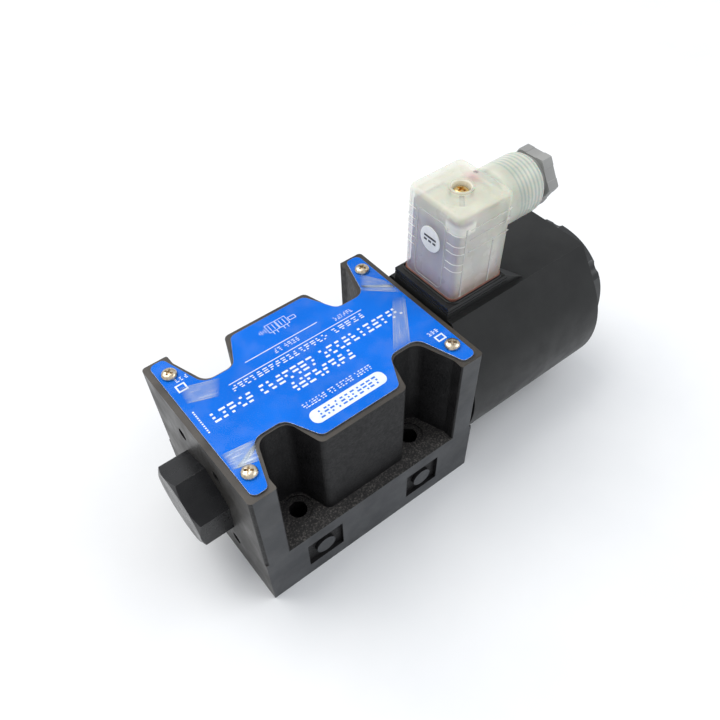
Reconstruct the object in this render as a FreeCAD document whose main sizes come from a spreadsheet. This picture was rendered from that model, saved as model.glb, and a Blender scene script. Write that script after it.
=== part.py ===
"""Single-solenoid directional control valve, size 10 (ISO 4401-05 mounting face).

Millimetres, +Z up. The origin is the centre of the four mounting bolts, on the mounting face.
The spool lies along X: the return spring is at the -X end and the solenoid at the +X end.
Every driving dimension is a cell of the sheet "dims"; the sub-parts are bound to those cells.
"""
import FreeCAD, Part
import math
import os
import re

import Sketcher
from FreeCAD import Placement, Rotation, Vector

doc = FreeCAD.newDocument("solenoid_valve")

# ---------------------------------------------------------------- driving dimensions

DIMENSIONS = {
    # general: play in a hole, and how far a cutting tool runs past the face it cuts
    "fit_gap": 0.05,
    "overrun": 2.0,
    # cast body
    "body_length": 98.8,
    "body_width": 71.0,
    "body_height": 70.0,
    "spool_axis": 35.0,
    "ledge_height": 27.3,
    "ear_inner": 39.0,
    "lobe_half_length": 18.0,
    "lobe_half_width": 30.5,
    "notch_outer": 34.0,
    "notch_inner": 22.3,
    "notch_half_width": 16.3,
    "ear_root": 31.0,
    "ear_root_fillet": 3.0,
    "notch_outer_fillet": 5.0,
    "notch_inner_fillet": 4.5,
    "lobe_fillet": 2.5,
    "edge_break": 0.8,
    # mounting face, size 05 pattern
    "bolt_spacing_x": 54.0,
    "bolt_spacing_y": 46.0,
    "bolt_hole_radius": 3.5,
    "spot_face_radius": 5.8,
    "spot_face_depth": 0.8,
    "port_radius": 5.25,
    "port_depth": 15.0,
    "gallery_radius": 4.5,
    "gallery_ab_top": 24.0,
    "gallery_t_top": 26.0,
    "port_p_y": 16.7,
    "port_ab_x": 10.3,
    "port_ab_y": 1.6,
    "port_t_x": 23.8,
    "port_t_y": -9.5,
    "seal_recess_radius": 8.0,
    "seal_recess_depth": 1.9,
    # spool bore and its oil grooves
    "bore_radius": 10.0,
    "groove_radius": 13.5,
    "groove_width": 6.0,
    "thread_radius": 13.5,
    "thread_depth": 13.4,
    "thread_end_gap": 1.0,
    "seal_groove_length": 2.6,
    "seal_groove_depth": 2.0,
    "seal_wire_radius": 0.9,
    # cast port marks
    "mark_x": 24.0,
    "mark_width": 16.0,
    "mark_bottom": 6.5,
    "mark_height": 14.5,
    "mark_depth": 1.6,
    "mark_boss_radius": 4.2,
    # tapped holes in the spring end
    "end_hole_y": 11.5,
    "end_hole_offset": 21.8,
    "end_hole_radius": 2.5,
    "end_hole_depth": 12.0,
    # nameplate
    "plate_half_length": 47.0,
    "plate_ear_half_width": 34.0,
    "plate_ear_inner": 41.2,
    "plate_notch_outer": 35.2,
    "plate_notch_inner": 22.9,
    "plate_notch_half_width": 15.4,
    "plate_lobe_half_length": 16.3,
    "plate_lobe_half_width": 28.5,
    "plate_corner_fillet": 2.4,
    "plate_ear_fillet": 2.0,
    "plate_lobe_fillet": 3.0,
    "plate_thickness": 0.8,
    "film_thickness": 0.12,
    "plate_screw_x": 42.9,
    "plate_screw_y": 25.9,
    "plate_screw_head_radius": 2.9,
    "plate_screw_head_height": 1.9,
    "plate_screw_radius": 1.5,
    "plate_screw_length": 7.0,
    "plate_hole_depth": 8.0,
    "plate_cross_length": 3.2,
    "plate_cross_width": 0.7,
    "plate_cross_depth": 1.0,
    # spring-end plug
    "plug_across_flats": 29.0,
    "plug_head_length": 13.1,
    "plug_chamfer": 1.2,
    "plug_chamfer_fall": 2.28,
    "plug_turn": 37.3,
    "plug_pocket_radius": 8.2,
    # spool, spring and push rod
    "spool_radius": 9.97,
    "spool_neck_radius": 6.0,
    "spool_start": -31.0,
    "spool_end": 34.5,
    "spool_stroke": 3.5,
    "end_land": 3.9,
    "land_overlap": 0.75,
    "seat_thickness": 1.5,
    "seat_radius": 8.6,
    "spring_wire": 1.6,
    "spring_mean_radius": 6.2,
    "spring_turns": 4,
    "spring_end_gap": 0.1,
    "spring_start": -45.6,
    "rod_radius": 3.0,
    # solenoid tube
    "collar_radius": 17.0,
    "collar_thickness": 0.9,
    "tube_radius": 14.0,
    "tube_bore_radius": 12.05,
    "pole_start": 36.5,
    "pole_end": 76.0,
    "ring_start": 72.0,
    "ring_end": 80.0,
    "tube_length_end": 121.0,
    "armature_start": 80.0,
    "armature_end": 115.5,
    "armature_radius": 12.0,
    "armature_chamfer": 1.0,
    "oil_slot_width": 2.0,
    "oil_slot_depth": 2.0,
    "washer_thickness": 0.3,
    "washer_radius": 10.5,
    "stub_start": 115.9,
    "stub_end": 133.5,
    "stub_radius": 8.95,
    "stub_chamfer": 1.0,
    "collar_seat_depth": 2.4,
    "collar_seat_gap": 0.4,
    "pin_groove_start": 124.0,
    "pin_groove_length": 2.0,
    "pin_groove_depth": 1.9,
    "pin_seal_wire_radius": 0.88,
    "pin_radius": 2.5,
    "pin_end": 132.6,
    "pin_collar_radius": 3.8,
    "pin_collar_thickness": 1.5,
    "pin_collar_gap": 0.1,
    "pin_chamfer": 0.4,
    # coil
    "coil_front": 50.6,
    "coil_rear": 122.0,
    "coil_radius": 34.8,
    "coil_bore_radius": 14.1,
    "coil_top": 69.9,
    "coil_top_half_width": 17.5,
    "coil_shoulder_half_width": 27.98,
    "coil_shoulder_height": 55.65,
    "coil_cavity_radius": 31.5,
    "coil_wall": 2.9,
    "yoke_wall": 3.0,
    "yoke_plate": 5.0,
    "bobbin_wall": 1.8,
    "winding_radius": 27.2,
    "box_half_width": 15.0,
    "box_length": 29.1,
    "box_top": 75.4,
    "box_root": 55.0,
    "gusset_inner": 7.0,
    "gusset_length": 9.8,
    "gusset_toe": 15.9,
    "gusset_root": 69.0,
    "blade_width": 6.3,
    "blade_thickness": 0.8,
    "blade_offset": 9.0,
    "post_radius": 3.0,
    "post_hole_radius": 1.6,
    "post_depth": 7.0,
    # coil nut
    "nut_start": 122.2,
    "nut_end": 135.0,
    "nut_across_flats": 51.2,
    "nut_scallop_radius": 5.0,
    "nut_scallop_depth": 2.6,
    "nut_turn": 18.5,
    "nut_flat_half_angle": 21.0,
    "nut_chamfer": 1.8,
    "nut_recess_gap": 1.5,
    "nut_recess_depth": 1.5,
    "nut_seal_wire_radius": 0.8,
    # plug connector
    "gasket_thickness": 1.4,
    "gasket_rim": 2.0,
    "connector_front": 53.5,
    "connector_length": 25.7,
    "connector_half_width": 13.75,
    "connector_top": 112.0,
    "connector_wall": 1.8,
    "connector_corner": 3.0,
    "insert_step": 91.0,
    "insert_top": 106.4,
    "insert_split": 69.5,
    "insert_gap": 0.25,
    "insert_hole_radius": 2.0,
    "contact_slot_gap": 0.8,
    "boss_radius": 4.6,
    "boss_rise": 0.5,
    "boss_floor": 2.0,
    "head_well_gap": 0.5,
    "screw_hole_radius": 1.7,
    "screw_shank_radius": 1.5,
    "screw_engagement": 6.0,
    "screw_head_radius": 2.9,
    "screw_head_height": 1.9,
    "screw_cross_length": 3.6,
    "screw_cross_width": 0.8,
    "screw_cross_depth": 1.0,
    "screw_seal_radius": 2.3,
    "screw_seal_wire_radius": 0.5,
    "screw_seat": 108.4,
    "blade_top": 84.5,
    "socket_start": 78.0,
    "socket_wall": 0.4,
    "socket_gap": 0.3,
    "socket_cap": 3.0,
    "socket_top_gap": 0.2,
    "wire_screw_front": 6.6,
    "wire_screw_rear": 7.4,
    "wire_screw_side": 7.5,
    "wire_screw_radius": 2.4,
    "wire_screw_height": 4.6,
    "wire_screw_depth": 2.8,
    "wire_well_radius": 2.6,
    "wire_well_depth": 3.0,
    "wire_slot_width": 0.7,
    "wire_slot_depth": 0.8,
    # indicator lamp on its board, and the supply label
    "board_length": 20.5,
    "board_width": 18.0,
    "board_thickness": 1.2,
    "board_margin": 3.0,
    "board_hole_gap": 0.3,
    "lamp_offset_x": 9.3,
    "lamp_offset_y": 4.0,
    "lamp_radius": 1.5,
    "lamp_height": 1.3,
    "dome_radius": 1.2,
    "label_radius": 5.0,
    "label_thickness": 0.3,
    "label_height": 96.5,
    # cable gland
    "gland_axis": 100.2,
    "gland_radius": 11.3,
    "gland_bore_radius": 9.0,
    "gland_end": 98.9,
    "gland_nut_front": 100.7,
    "gland_nut_end": 105.5,
    "gland_nut_radius": 11.2,
    "gland_nut_half_flats": 9.7,
    "gland_nut_shank_radius": 8.9,
    "gland_nut_start": 92.0,
    "cable_radius": 4.6,
    "grommet_radius": 4.2,
    "grommet_side_gap": 0.1,
    "gland_washer_thickness": 1.0,
    "gland_washer_gap": 0.2,
    "gland_gap": 0.3,
    "gland_nut_bevel": 0.5,
    "gland_nut_chamfer": 0.2,
    "gland_nut_turn": 28.0,
    "gland_groove_half_width": 2.4,
    "gland_groove_depth": 0.2,
}


def make_sheet():
    """Write every driving dimension into the sheet, one aliased cell per row."""
    table = doc.addObject("Spreadsheet::Sheet", "dims")
    for row, (name, number) in enumerate(DIMENSIONS.items(), start=1):
        table.set(f"A{row}", name)
        table.set(f"B{row}", str(number))
        table.setAlias(f"B{row}", name)
    doc.recompute()
    return table


CELLS = {name: f"dims.{name}" for name in DIMENSIONS}
sheet = make_sheet()
subparts = []


def expr(text):
    """Turn the cell names in a formula into references to the sheet."""
    return re.sub(r"[a-z_]+", lambda word: CELLS.get(word.group(), word.group()), text)


def value(text):
    """Work out a formula of the sheet as a number."""
    return float(sheet.evalExpression(expr(text)))


def bind(thing, prop, text):
    thing.setExpression(prop, expr(text))


def keep(thing, label):
    """Register an object of the document as a finished sub-part."""
    thing.Label = label
    subparts.append(thing)
    return thing


# ---------------------------------------------------------------- building helpers

AXIS_ROTATION = {
    "x": Rotation(Vector(0, 1, 0), 90),
    "y": Rotation(Vector(1, 0, 0), -90),
    "z": Rotation(),
}


def move(thing, x, y, z):
    """Bind a position to three formulas."""
    bind(thing, "Placement.Base.x", x)
    bind(thing, "Placement.Base.y", y)
    bind(thing, "Placement.Base.z", z)


def rod(name, radius, length, axis, x, y, z):
    """A cylinder along x, y or z that starts at the given point."""
    thing = doc.addObject("Part::Cylinder", name)
    thing.Placement = Placement(Vector(), AXIS_ROTATION[axis])
    bind(thing, "Radius", radius)
    bind(thing, "Height", length)
    move(thing, x, y, z)
    return thing


def block(name, length, width, height, x, y, z):
    thing = doc.addObject("Part::Box", name)
    bind(thing, "Length", length)
    bind(thing, "Width", width)
    bind(thing, "Height", height)
    move(thing, x, y, z)
    return thing


def ring(name, major, minor, axis, x, y, z):
    """A rubber ring: a torus about the given axis."""
    thing = doc.addObject("Part::Torus", name)
    thing.Placement = Placement(Vector(), AXIS_ROTATION[axis])
    bind(thing, "Radius1", major)
    bind(thing, "Radius2", minor)
    move(thing, x, y, z)
    return thing


def hexagon(name, circumradius, length, x, turn, z="spool_axis"):
    """A hexagonal bar along X, with a corner turned from +Y towards +Z by the given angle."""
    thing = doc.addObject("Part::Prism", name)
    to_x_axis = Rotation(Vector(1, 1, 1), 120)
    thing.Placement = Placement(Vector(), Rotation(Vector(1, 0, 0), value(turn)) * to_x_axis)
    thing.Polygon = 6
    bind(thing, "Circumradius", circumradius)
    bind(thing, "Height", length)
    move(thing, x, "0", z)
    return thing


def union(name, things):
    thing = doc.addObject("Part::MultiFuse", name)
    thing.Shapes = things
    return thing


def cut(name, base, tools):
    thing = doc.addObject("Part::Cut", name)
    thing.Base = base
    thing.Tool = tools[0] if len(tools) == 1 else union(name + "_tools", tools)
    return thing


def common(name, first, second):
    thing = doc.addObject("Part::Common", name)
    thing.Base = first
    thing.Tool = second
    return thing


def group(name, things):
    """Identical pieces that share one node."""
    thing = doc.addObject("Part::Compound", name)
    thing.Links = things
    return thing


def origin_plane(body, role):
    return next(item for item in body.Origin.OriginFeatures if item.Role == role)


def outline_sketch(body, plane, corners):
    """A closed outline on an origin plane; each corner is held by formulas for both coordinates."""
    sketch = body.newObject("Sketcher::SketchObject", "outline")
    sketch.AttachmentSupport = [(origin_plane(body, plane), "")]
    sketch.MapMode = "FlatFace"
    points = [Vector(value(corner[0]), value(corner[1]), 0) for corner in corners]
    count = len(points)
    for index in range(count):
        sketch.addGeometry(Part.LineSegment(points[index], points[(index + 1) % count]))
    for index in range(count):
        sketch.addConstraint(Sketcher.Constraint("Coincident", index, 2, (index + 1) % count, 1))
    for index, corner in enumerate(corners):
        for kind, text, number in (("DistanceX", corner[0], points[index].x),
                                   ("DistanceY", corner[1], points[index].y)):
            row = sketch.addConstraint(Sketcher.Constraint(kind, -1, 1, index, 1, number))
            bind(sketch, f"Constraints[{row}]", text)
    return sketch


def turned(label, profile, z="spool_axis"):
    """A part turned about the X axis; the profile is a list of (x, radius) corners."""
    body = doc.addObject("PartDesign::Body", label)
    sketch = outline_sketch(body, "XZ_Plane", profile)
    revolution = body.newObject("PartDesign::Revolution", "turning")
    revolution.Profile = sketch
    revolution.ReferenceAxis = (sketch, ["H_Axis"])
    revolution.Angle = 360
    bind(body, "Placement.Base.z", z)
    return body


def near(number, target, tolerance=0.02):
    return abs(number - target) < tolerance


def plate(label, corners, thickness, z="0"):
    """A flat prism on the XY plane; each corner is (x, y) or (x, y, radius)."""
    body = doc.addObject("PartDesign::Body", label)
    sketch = outline_sketch(body, "XY_Plane", corners)
    pad = body.newObject("PartDesign::Pad", "thickness")
    pad.Profile = sketch
    bind(pad, "Length", thickness)
    bind(body, "Placement.Base.z", z)
    doc.recompute()
    latest = pad
    for radius in sorted({corner[2] for corner in corners if len(corner) == 3}):
        places = [(value(c[0]), value(c[1])) for c in corners if len(c) == 3 and c[2] == radius]
        latest = round_upright_edges(body, latest, places, radius)
    return body


def upright_edges(shape, places):
    """Names of the edges along Z that stand on the given points."""
    names = []
    for index, edge in enumerate(shape.Edges, start=1):
        first, last = edge.Vertexes[0].Point, edge.Vertexes[-1].Point
        upright = near(first.x, last.x) and near(first.y, last.y) and not near(first.z, last.z)
        if upright and any(near(first.x, x) and near(first.y, y) for x, y in places):
            names.append(f"Edge{index}")
    return names


def round_upright_edges(body, feature, places, radius):
    fillet = body.newObject("PartDesign::Fillet", "rounding")
    fillet.Base = (feature, upright_edges(feature.Shape, places))
    bind(fillet, "Radius", radius)
    doc.recompute()
    return fillet


def mirrored_outline(quarter):
    """Repeat a quarter outline, listed from the +X end to the +Y middle, in all four quadrants."""
    def quadrant(sign_x, sign_y, corners):
        return [(f"{sign_x} * ({c[0]})", f"{sign_y} * ({c[1]})", *c[2:]) for c in corners]

    backwards = quarter[::-1]
    return (quadrant("1", "1", quarter) + quadrant("-1", "1", backwards)
            + quadrant("-1", "-1", quarter) + quadrant("1", "-1", backwards))


def hollow_turned(label, start, end, outer, inner, z="spool_axis"):
    """A plain sleeve or washer along X."""
    profile = [(start, inner), (end, inner), (end, outer), (start, outer)]
    return turned(label, profile, z)


# ---------------------------------------------------------------- cast body

CORNER_SIGNS = [(sx, sy) for sx in (1, -1) for sy in (1, -1)]
BODY_END = "body_length / 2"


def body_blank():
    """Full-length base up to the ledge, and above it the waisted upper part with four notches."""
    base = block("casting_base", "body_length", "body_width", "ledge_height",
                 "- body_length / 2", "- body_width / 2", "0")
    quarter = [
        (BODY_END, "body_width / 2", "2 * edge_break"),
        ("ear_inner", "body_width / 2", "edge_break"),
        ("ear_inner", "ear_root", "ear_root_fillet"),
        ("notch_outer", "notch_half_width", "notch_outer_fillet"),
        ("notch_inner", "notch_half_width", "notch_inner_fillet"),
        ("lobe_half_length", "lobe_half_width", "lobe_fillet"),
    ]
    upper = plate("casting_upper", mirrored_outline(quarter), "body_height - ledge_height",
                  "ledge_height")
    return union("casting", [base, upper])


def mounting_holes():
    """Four bolt holes, each with a spot face on the ledge."""
    tools = []
    for sign_x, sign_y in CORNER_SIGNS:
        x = f"{sign_x} * bolt_spacing_x / 2"
        y = f"{sign_y} * bolt_spacing_y / 2"
        tools.append(rod("bolt_hole", "bolt_hole_radius", "body_height", "z", x, y, "0"))
        tools.append(rod("spot_face", "spot_face_radius", "spot_face_depth + overrun", "z", x, y,
                         "ledge_height - spot_face_depth"))
    return tools


# Each port: the place of its mouth, and how high its gallery runs to meet the ring groove
PORTS = {
    "p": ("0", "port_p_y", "spool_axis"),
    "a": ("port_ab_x", "port_ab_y", "gallery_ab_top"),
    "b": ("- port_ab_x", "port_ab_y", "gallery_ab_top"),
    "t_right": ("port_t_x", "port_t_y", "gallery_t_top"),
    "t_left": ("- port_t_x", "port_t_y", "gallery_t_top"),
}


def port_tools():
    """Port mouths in the mounting face, narrower galleries above them, and recesses for the seals."""
    tools = []
    for name, (x, y, top) in PORTS.items():
        tools.append(rod(f"port_{name}", "port_radius", "port_depth", "z", x, y, "0"))
        tools.append(rod(f"gallery_{name}", "gallery_radius", top, "z", x, y, "0"))
        tools.append(rod(f"recess_{name}", "seal_recess_radius", "seal_recess_depth", "z", x, y, "0"))
    return tools


def spool_bore_tools():
    """The through bore, five ring grooves for the ports, and a threaded counterbore at each end."""
    tools = [rod("spool_bore", "bore_radius", "body_length", "x", "- body_length / 2", "0",
                 "spool_axis")]
    for x in ("0", "port_ab_x", "- port_ab_x", "port_t_x", "- port_t_x"):
        tools.append(rod("oil_groove", "groove_radius", "groove_width", "x",
                         f"{x} - groove_width / 2", "0", "spool_axis"))
    for x in ("- body_length / 2", "body_length / 2 - thread_depth"):
        tools.append(rod("end_thread", "thread_radius", "thread_depth", "x", x, "0", "spool_axis"))
    return tools


def end_hole_tools():
    """Four tapped holes round the spring-end plug."""
    tools = []
    for sign_y, sign_z in CORNER_SIGNS:
        tools.append(rod("end_hole", "end_hole_radius", "end_hole_depth", "x", "- body_length / 2",
                         f"{sign_y} * end_hole_y", f"spool_axis + {sign_z} * end_hole_offset"))
    return tools


def mark_recess(sign):
    """A shallow pocket in the side of the casting; the round boss in it is level with the side."""
    pocket = block("mark_pocket", "mark_width", "mark_depth", "mark_height",
                   f"{sign} * mark_x - mark_width / 2", "- body_width / 2", "mark_bottom")
    boss = rod("mark_boss", "mark_boss_radius", "mark_depth", "y", f"{sign} * mark_x",
               "- body_width / 2", "mark_bottom + mark_height / 2")
    return cut("mark", pocket, [boss])


def nameplate_screw_holes():
    return [rod("plate_screw_hole", "plate_screw_radius", "plate_hole_depth", "z",
                f"{sign_x} * plate_screw_x", f"{sign_y} * plate_screw_y",
                "body_height - plate_hole_depth")
            for sign_x, sign_y in CORNER_SIGNS]


def valve_body():
    tools = mounting_holes() + port_tools() + spool_bore_tools() + end_hole_tools()
    tools += [mark_recess(1), mark_recess(-1)] + nameplate_screw_holes()
    keep(cut("valve_body", body_blank(), tools), "valve_body")


def port_seals():
    """Five face seals, flush with the mounting face as they are when bolted down."""
    rings = [ring(f"seal_{name}", "seal_recess_radius - seal_recess_depth / 2 - fit_gap",
                  "seal_recess_depth / 2", "z", x, y, "seal_recess_depth / 2")
             for name, (x, y, top) in PORTS.items()]
    keep(group("port_seals", rings), "port_seals")


# ---------------------------------------------------------------- nameplate

def plate_outline():
    quarter = [
        ("plate_half_length", "plate_ear_half_width", "plate_corner_fillet"),
        ("plate_ear_inner", "plate_ear_half_width", "plate_ear_fillet"),
        ("plate_notch_outer", "plate_notch_half_width", "notch_outer_fillet"),
        ("plate_notch_inner", "plate_notch_half_width", "notch_inner_fillet"),
        ("plate_lobe_half_length", "plate_lobe_half_width", "plate_lobe_fillet"),
    ]
    return mirrored_outline(quarter)


def plate_holes(radius):
    return [rod("plate_hole", radius, "2 * overrun", "z", f"{sign_x} * plate_screw_x",
                f"{sign_y} * plate_screw_y", "body_height - overrun")
            for sign_x, sign_y in CORNER_SIGNS]


def nameplate():
    """Printed metal plate, and the clear film that still protects it."""
    sheet_metal = plate("plate_sheet", plate_outline(), "plate_thickness", "body_height")
    keep(cut("nameplate", sheet_metal, plate_holes("plate_screw_radius")), "nameplate")
    film = plate("film_sheet", plate_outline(), "film_thickness", "body_height + plate_thickness")
    keep(cut("nameplate_film", film, plate_holes("plate_screw_head_radius + 4 * fit_gap")), "nameplate_film")


def cross_recess(name, length, width, depth, x, y, top):
    """Two crossed slots that make the recess of a cross-head screw."""
    return [block(name, long_side, short_side, f"{depth} + overrun", f"{x} - {long_side} / 2",
                  f"{y} - {short_side} / 2", f"{top} - {depth}")
            for long_side, short_side in ((length, width), (width, length))]


def nameplate_screw(sign_x, sign_y):
    """Pan-head screw with a cross recess."""
    x = f"{sign_x} * plate_screw_x"
    y = f"{sign_y} * plate_screw_y"
    seat = "body_height + plate_thickness"
    shank = rod("shank", "plate_screw_radius", "plate_screw_length + plate_thickness", "z",
                x, y, "body_height - plate_screw_length")
    head = rod("head", "plate_screw_head_radius", "plate_screw_head_height", "z", x, y, seat)
    slots = cross_recess("cross", "plate_cross_length", "plate_cross_width", "plate_cross_depth",
                         x, y, f"{seat} + plate_screw_head_height")
    return cut("plate_screw", union("screw_blank", [shank, head]), slots)


def nameplate_screws():
    screws = [nameplate_screw(sign_x, sign_y) for sign_x, sign_y in CORNER_SIGNS]
    keep(group("nameplate_screws", screws), "nameplate_screws")


# ---------------------------------------------------------------- spring end

def thread_seal(label, x):
    """Rubber ring in the groove behind the head of a screwed-in part."""
    return ring(label, "thread_radius - seal_groove_depth + seal_wire_radius", "seal_wire_radius",
                "x", x, "0", "spool_axis")


def end_plug():
    """Hexagon-head screw plug with a pocket that holds the return spring."""
    head_corner = "plug_across_flats / sqrt(3)"
    face = "- body_length / 2"
    outer = f"{face} - plug_head_length"
    head = hexagon("plug_hexagon", head_corner, "plug_head_length", outer, "plug_turn")
    cone = turned("plug_chamfer_form", [
        (outer, "0"),
        (outer, f"{head_corner} - plug_chamfer_fall"),
        (f"{outer} + plug_chamfer", head_corner),
        (face, head_corner),
        (face, "0"),
    ])
    shank = turned("plug_shank", [
        (face, "0"),
        (face, "thread_radius - seal_groove_depth"),
        (f"{face} + seal_groove_length", "thread_radius - seal_groove_depth"),
        (f"{face} + seal_groove_length", "thread_radius - fit_gap"),
        (f"{face} + thread_depth - thread_end_gap", "thread_radius - fit_gap"),
        (f"{face} + thread_depth - thread_end_gap", "plug_pocket_radius"),
        ("spring_start", "plug_pocket_radius"),
        ("spring_start", "0"),
    ])
    keep(union("end_plug", [common("plug_head", head, cone), shank]), "end_plug")
    keep(thread_seal("end_plug_seal", f"{face} + seal_groove_length / 2"), "end_plug_seal")


def return_spring():
    """Helical spring between the plug pocket and the seat on the spool."""
    length = "spool_start - seat_thickness - spring_start"
    coil = doc.addObject("Part::Helix", "spring_path")
    bind(coil, "Radius", "spring_mean_radius")
    bind(coil, "Height", f"{length} - spring_wire - 2 * spring_end_gap")
    bind(coil, "Pitch", f"({length} - spring_wire - 2 * spring_end_gap) / spring_turns")
    wire = doc.addObject("Part::Circle", "spring_wire_section")
    bind(wire, "Radius", "spring_wire / 2")
    wire.Placement = Placement(Vector(value("spring_mean_radius"), 0, 0), AXIS_ROTATION["y"])
    sweep = doc.addObject("Part::Sweep", "return_spring")
    sweep.Sections = [wire]
    sweep.Spine = (coil, ["Edge1"])
    sweep.Solid = True
    sweep.Frenet = True
    sweep.Placement = Placement(Vector(), AXIS_ROTATION["x"])
    move(sweep, "spring_start + spring_wire / 2 + spring_end_gap", "0", "spool_axis")
    keep(sweep, "return_spring")


def spring_seat():
    seat = turned("spring_seat", [
        ("spool_start - seat_thickness", "0"),
        ("spool_start - seat_thickness", "seat_radius"),
        ("spool_start", "seat_radius"),
        ("spool_start", "0"),
    ])
    keep(seat, "spring_seat")


# ---------------------------------------------------------------- spool and push rod

def spool():
    """Four lands: two end seals, and two control lands that each shift across a work port."""
    half_land = "(groove_width / 2 + land_overlap)"
    shift = "(spool_stroke / 2)"
    lands = [
        ("spool_start", "spool_start + end_land"),
        (f"{shift} - port_ab_x - {half_land}", f"{shift} - port_ab_x + {half_land}"),
        (f"{shift} + port_ab_x - {half_land}", f"{shift} + port_ab_x + {half_land}"),
        ("spool_end - end_land", "spool_end"),
    ]
    profile = [("spool_start", "0")]
    for start, end in lands:
        if start != "spool_start":
            profile.append((start, "spool_neck_radius"))
        profile.append((start, "spool_radius"))
        profile.append((end, "spool_radius"))
        if end != "spool_end":
            profile.append((end, "spool_neck_radius"))
    profile.append(("spool_end", "0"))
    keep(turned("spool", profile), "spool")


def push_rod():
    rod_body = turned("push_rod", [
        ("spool_end", "0"),
        ("spool_end", "rod_radius"),
        ("armature_start", "rod_radius"),
        ("armature_start", "0"),
    ])
    keep(rod_body, "push_rod")


def armature():
    """Soft-iron plunger with two oil-transfer slots and a thin anti-stick washer on its face."""
    front = "armature_start + washer_thickness"
    plunger = turned("plunger", [
        (front, "0"),
        (front, "armature_radius - armature_chamfer"),
        (f"{front} + armature_chamfer", "armature_radius"),
        ("armature_end - armature_chamfer", "armature_radius"),
        ("armature_end", "armature_radius - armature_chamfer"),
        ("armature_end", "0"),
    ])
    slots = [block("oil_slot", "armature_end - armature_start + 2 * overrun", "oil_slot_width",
                   "oil_slot_depth + overrun", "armature_start - overrun", "- oil_slot_width / 2", z)
             for z in ("spool_axis + armature_radius - oil_slot_depth",
                       "spool_axis - armature_radius - overrun")]
    keep(cut("armature", plunger, slots), "armature")
    washer = hollow_turned("armature_washer", "armature_start", front, "washer_radius",
                           "rod_radius + fit_gap")
    keep(washer, "armature_washer")


# ---------------------------------------------------------------- solenoid tube

def pole_piece():
    """Fixed core that screws into the body, with a collar that backs the coil."""
    face = BODY_END
    pole = turned("pole_piece", [
        ("pole_start", "rod_radius + 2 * fit_gap"),
        ("pole_end", "rod_radius + 2 * fit_gap"),
        ("pole_end", "tube_bore_radius"),
        ("ring_start", "tube_bore_radius"),
        ("ring_start", "tube_radius"),
        (f"{face} + collar_thickness", "tube_radius"),
        (f"{face} + collar_thickness", "collar_radius"),
        (face, "collar_radius"),
        (face, "thread_radius - seal_groove_depth"),
        (f"{face} - seal_groove_length", "thread_radius - seal_groove_depth"),
        (f"{face} - seal_groove_length", "thread_radius - fit_gap"),
        ("pole_start", "thread_radius - fit_gap"),
    ])
    keep(pole, "pole_piece")
    keep(thread_seal("tube_body_seal", f"{face} - seal_groove_length / 2"), "tube_body_seal")


def tube_shell():
    """Non-magnetic ring and magnetic sleeve, brazed in line with the pole piece."""
    keep(hollow_turned("nonmagnetic_ring", "ring_start", "ring_end", "tube_radius",
                       "tube_bore_radius"), "nonmagnetic_ring")
    keep(hollow_turned("tube_sleeve", "ring_end", "tube_length_end", "tube_radius",
                       "tube_bore_radius"), "tube_sleeve")


def tube_end():
    """Closed end of the tube: a threaded stub for the coil nut, bored for the override pin."""
    pin_hole = "pin_radius + fit_gap"
    groove_end = "pin_groove_start + pin_groove_length"
    seat_end = "stub_start + collar_seat_depth"
    stub = turned("tube_end", [
        ("stub_start", "tube_bore_radius"),
        ("tube_length_end", "tube_bore_radius"),
        ("tube_length_end", "stub_radius"),
        ("stub_end - stub_chamfer", "stub_radius"),
        ("stub_end", "stub_radius - stub_chamfer"),
        ("stub_end", pin_hole),
        (groove_end, pin_hole),
        (groove_end, "pin_radius + pin_groove_depth"),
        ("pin_groove_start", "pin_radius + pin_groove_depth"),
        ("pin_groove_start", pin_hole),
        (seat_end, pin_hole),
        (seat_end, "pin_collar_radius + collar_seat_gap"),
        ("stub_start", "pin_collar_radius + collar_seat_gap"),
    ])
    keep(stub, "tube_end")
    seal = ring("override_seal", f"{pin_hole} + pin_groove_depth / 2", "pin_seal_wire_radius", "x",
                "pin_groove_start + pin_groove_length / 2", "0", "spool_axis")
    keep(seal, "override_seal")


def override_pin():
    """Manual override: a collared pin that pushes the armature."""
    start = "armature_end + pin_collar_gap"
    pin = turned("override_pin", [
        (start, "0"),
        (start, "pin_collar_radius"),
        (f"{start} + pin_collar_thickness", "pin_collar_radius"),
        (f"{start} + pin_collar_thickness", "pin_radius"),
        ("pin_end - pin_chamfer", "pin_radius"),
        ("pin_end", "pin_radius - pin_chamfer"),
        ("pin_end", "0"),
    ])
    keep(pin, "override_pin")


# ---------------------------------------------------------------- coil

CAVITY_START = "coil_front + coil_wall"
CAVITY_END = "coil_rear - coil_wall"


def box_gusset(sign):
    """Small pyramid that runs out from the rear face of the terminal box along the flat top."""
    thing = doc.addObject("Part::Wedge", "box_gusset")
    thing.Placement = Placement(Vector(), Rotation(Vector(0, 0, 1), -90))
    edges = sorted([value(f"{sign} * box_half_width"), value(f"{sign} * gusset_inner")])
    rear = "coil_front + box_length"
    bounds = {
        "Xmin": str(edges[0]),
        "Xmax": str(edges[1]),
        "X2min": f"{sign} * gusset_toe",
        "X2max": f"{sign} * gusset_toe",
        "Ymin": rear,
        "Ymax": f"{rear} + gusset_length",
        "Zmin": "gusset_root",
        "Zmax": "box_top",
        "Z2min": "coil_top",
        "Z2max": "coil_top",
    }
    for name, formula in bounds.items():
        bind(thing, name, formula)
    return thing


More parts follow.
